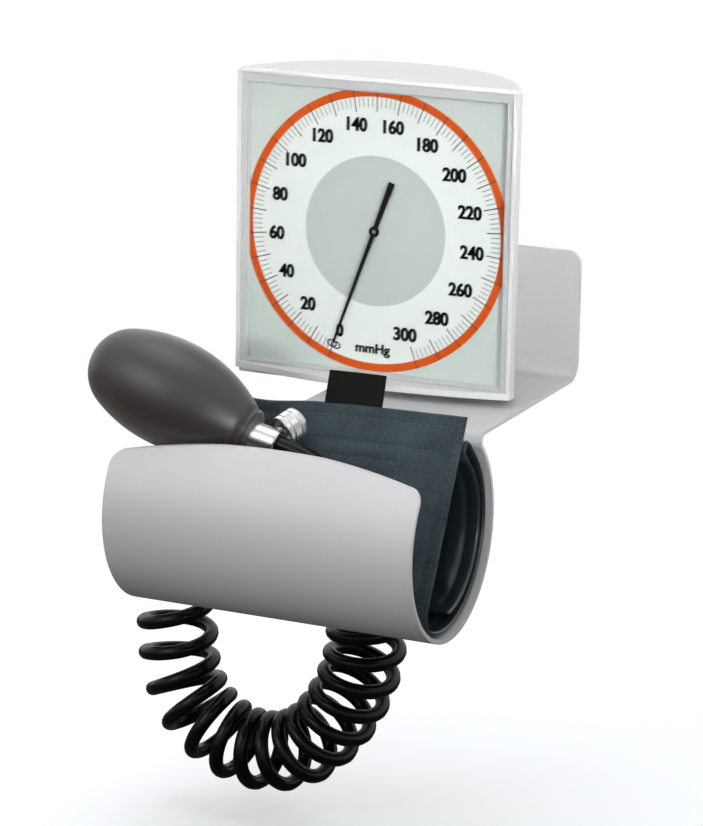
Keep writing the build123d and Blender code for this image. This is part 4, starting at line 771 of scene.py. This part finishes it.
# A plain black woven tab stands up out of the seam along the flap's top edge, and leans back less than
# the flap does.
TAB_FOOT, TAB_HEIGHT, TAB_WIDTH, TAB_THICKNESS, TAB_LEFT = -0.0010, 0.0160, 0.0295, 0.0008, 0.0023
tab_mesh = bmesh.new()
made = bmesh.ops.create_grid(tab_mesh, x_segments=24, y_segments=14, size=0.5)["verts"]
for vertex in made:
    across, rise = vertex.co.x + 0.5, vertex.co.y + 0.5
    foot_y = -0.1354 - 0.0014 * across
    foot_z = -0.0253 + 0.0006 * across
    climb = TAB_FOOT + rise * TAB_HEIGHT
    lean = climb * 0.24 + 0.0006 * math.sin(3.0 * (across - 0.5) + 1.2 * rise)
    vertex.co = Vector((TAB_LEFT + across * TAB_WIDTH + 0.0006 * rise, foot_y + lean, foot_z + climb * 0.97))
skin = bmesh.ops.extrude_face_region(tab_mesh, geom=tab_mesh.faces[:])["geom"]
back_skin = [item for item in skin if isinstance(item, bmesh.types.BMVert)]
bmesh.ops.translate(tab_mesh, vec=(0, TAB_THICKNESS, 0), verts=back_skin)
bmesh.ops.recalc_face_normals(tab_mesh, faces=tab_mesh.faces)
tab_black = grained("black_woven_tab", (0.0065, 0.0065, 0.0062), 0.75, 0.25, 2600, 0.45, 200, sheen=0.12)
tab = mesh_piece("black_woven_tab", tab_mesh, tab_black, "bracket", "label_fabric", "cuff_label")
tab_edges = tab.modifiers.new("soft_edges", "BEVEL")
tab_edges.width = 0.00025
tab_edges.segments = 2

# The bulb is dipped grey rubber with a thick neck, which is pushed on the valve. Its round end holds
# the intake valve.
bulb_tip = Vector((-0.1030, -0.1662, -0.0081))
bulb_turn = Matrix.Translation(bulb_tip) @ Matrix.Rotation(math.radians(90 + 19.3), 4, "Y")
bulb_mesh = bmesh.new()


def swing(mesh, vertex, centre, degrees, steps):
    """Draw an arc from a point about a centre in X and Z, and return its last point."""
    made = bmesh.ops.spin(mesh, geom=[vertex], cent=(centre[0], 0, centre[1]), axis=(0, 1, 0),
                          angle=math.radians(degrees), steps=steps)["geom_last"]
    return [item for item in made if isinstance(item, bmesh.types.BMVert)][0]


# Its outline is a round cap, a long side arc to the widest place, an arc in to the neck, and a lip.
body_radius, widest, cap_radius, neck_arc, neck_run = 0.0254, 0.042, 0.021, 0.074, 0.0415
rise = widest - cap_radius
side_arc = (rise**2 + body_radius**2 - cap_radius**2) / (2 * (body_radius - cap_radius))
cap_angle = math.degrees(math.atan2(rise, side_arc - body_radius))
neck_angle = math.degrees(math.asin(neck_run / neck_arc))
neck_lip = [(0.0113, 0.0838), (0.0112, 0.0846), (0.0117, 0.0852), (0.0119, 0.0860), (0.0116, 0.0868),
            (0.0108, 0.0874), (0.0095, 0.0875), (0.0030, 0.0875)]
point = swing(bulb_mesh, bulb_mesh.verts.new((0, 0, 0)), (0, cap_radius), cap_angle - 90, 14)
point = swing(bulb_mesh, point, (body_radius - side_arc, widest), -cap_angle, 16)
point = swing(bulb_mesh, point, (body_radius - neck_arc, widest), -neck_angle, 22)
for radius, along in neck_lip:
    mark = bulb_mesh.verts.new((radius, 0, along))
    bulb_mesh.edges.new((point, mark))
    point = mark
bmesh.ops.spin(bulb_mesh, geom=bulb_mesh.verts[:] + bulb_mesh.edges[:], cent=(0, 0, 0), axis=(0, 0, 1),
               angle=2 * math.pi, steps=96, use_merge=True)
bmesh.ops.remove_doubles(bulb_mesh, verts=bulb_mesh.verts, dist=0.00001)
for face in bulb_mesh.faces:
    face.smooth = True
bmesh.ops.transform(bulb_mesh, matrix=bulb_turn, verts=bulb_mesh.verts)
bmesh.ops.recalc_face_normals(bulb_mesh, faces=bulb_mesh.faces)
bulb_rubber = grained("grey_bulb_rubber", (0.019, 0.0155, 0.014), 0.42, 0.10, 1700, 0.10, 30, 0.06,
                      sheen=0.75)
bulb_shader = bulb_rubber.node_tree.nodes["Principled BSDF"]
bulb_shader.inputs["Sheen Weight"].default_value = 0.45
bulb_shader.inputs["Sheen Roughness"].default_value = 0.45
bulb_shader.inputs["Sheen Tint"].default_value = (0.95, 0.92, 0.88, 1)
mesh_piece("grey_rubber_bulb", bulb_mesh, bulb_rubber, "bracket", "bulb_rubber", "bulb")

# The valve is turned brass, nickel plated and satin brushed, with a polished ring at its hose end. Its
# other end sits in the bulb's neck.
satin_nickel = grained("satin_nickel", (0.72, 0.73, 0.74), 0.28, 0.05, 2600, 0.10, 60, 0.06, 1.0)
finish_nodes(satin_nickel, "valve_body")
finish_nodes(nickel, "valve_ring")

# The release knob is turned of the same plated brass, knurled along its side between two grooves, with
# a plain rounded end. It screws into the side of the valve.
knob_axis = Vector((0.439, 0.807, 0.394)).normalized()
knob_start = Vector((-0.008213, -0.159338, -0.035559))
RIB_STEPS, RIB_DEPTH, RIBBED_RADIUS, RIBBED_RUN = 156, 0.022, 0.0071, (0.0002, 0.0072)
knob_mesh = bmesh.new()
knob_profile = [
    (0.0000, 0.0041), (0.0056, 0.0041), (0.0056, 0.0002), (0.0058, 0.0000), (0.0068, 0.0000),
    (0.00715, 0.0003), (0.00715, 0.0021), (0.00672, 0.0022), (0.00672, 0.0028), (0.0072, 0.0029),
    (0.0072, 0.0063), (0.00672, 0.0064), (0.00672, 0.0070), (0.00715, 0.0071), (0.00715, 0.0090),
    (0.0069, 0.0099), (0.0062, 0.0104), (0.0056, 0.0105), (0.0000, 0.0105),
]
marks = [knob_mesh.verts.new((radius, 0, place)) for radius, place in knob_profile]
for start, end in zip(marks, marks[1:]):
    knob_mesh.edges.new((start, end))
bmesh.ops.spin(knob_mesh, geom=knob_mesh.verts[:] + knob_mesh.edges[:], cent=(0, 0, 0), axis=(0, 0, 1),
               angle=2 * math.pi, steps=RIB_STEPS, use_merge=True)
bmesh.ops.remove_doubles(knob_mesh, verts=knob_mesh.verts, dist=0.000002)
for vertex in knob_mesh.verts:
    if math.hypot(vertex.co.x, vertex.co.y) > RIBBED_RADIUS and RIBBED_RUN[0] < vertex.co.z < RIBBED_RUN[1]:
        groove = round(math.atan2(vertex.co.y, vertex.co.x) / (2 * math.pi / RIB_STEPS)) % 2
        vertex.co.x *= 1 - RIB_DEPTH * groove
        vertex.co.y *= 1 - RIB_DEPTH * groove
bmesh.ops.recalc_face_normals(knob_mesh, faces=knob_mesh.faces)
knob_turn = knob_axis.to_track_quat("Z", "Y").to_matrix().to_4x4()
bmesh.ops.transform(knob_mesh, matrix=Matrix.Translation(knob_start) @ knob_turn, verts=knob_mesh.verts)
mesh_piece("knurled_release_knob", knob_mesh, satin_nickel, "knob_group", "bolt_chrome", "release_knob")
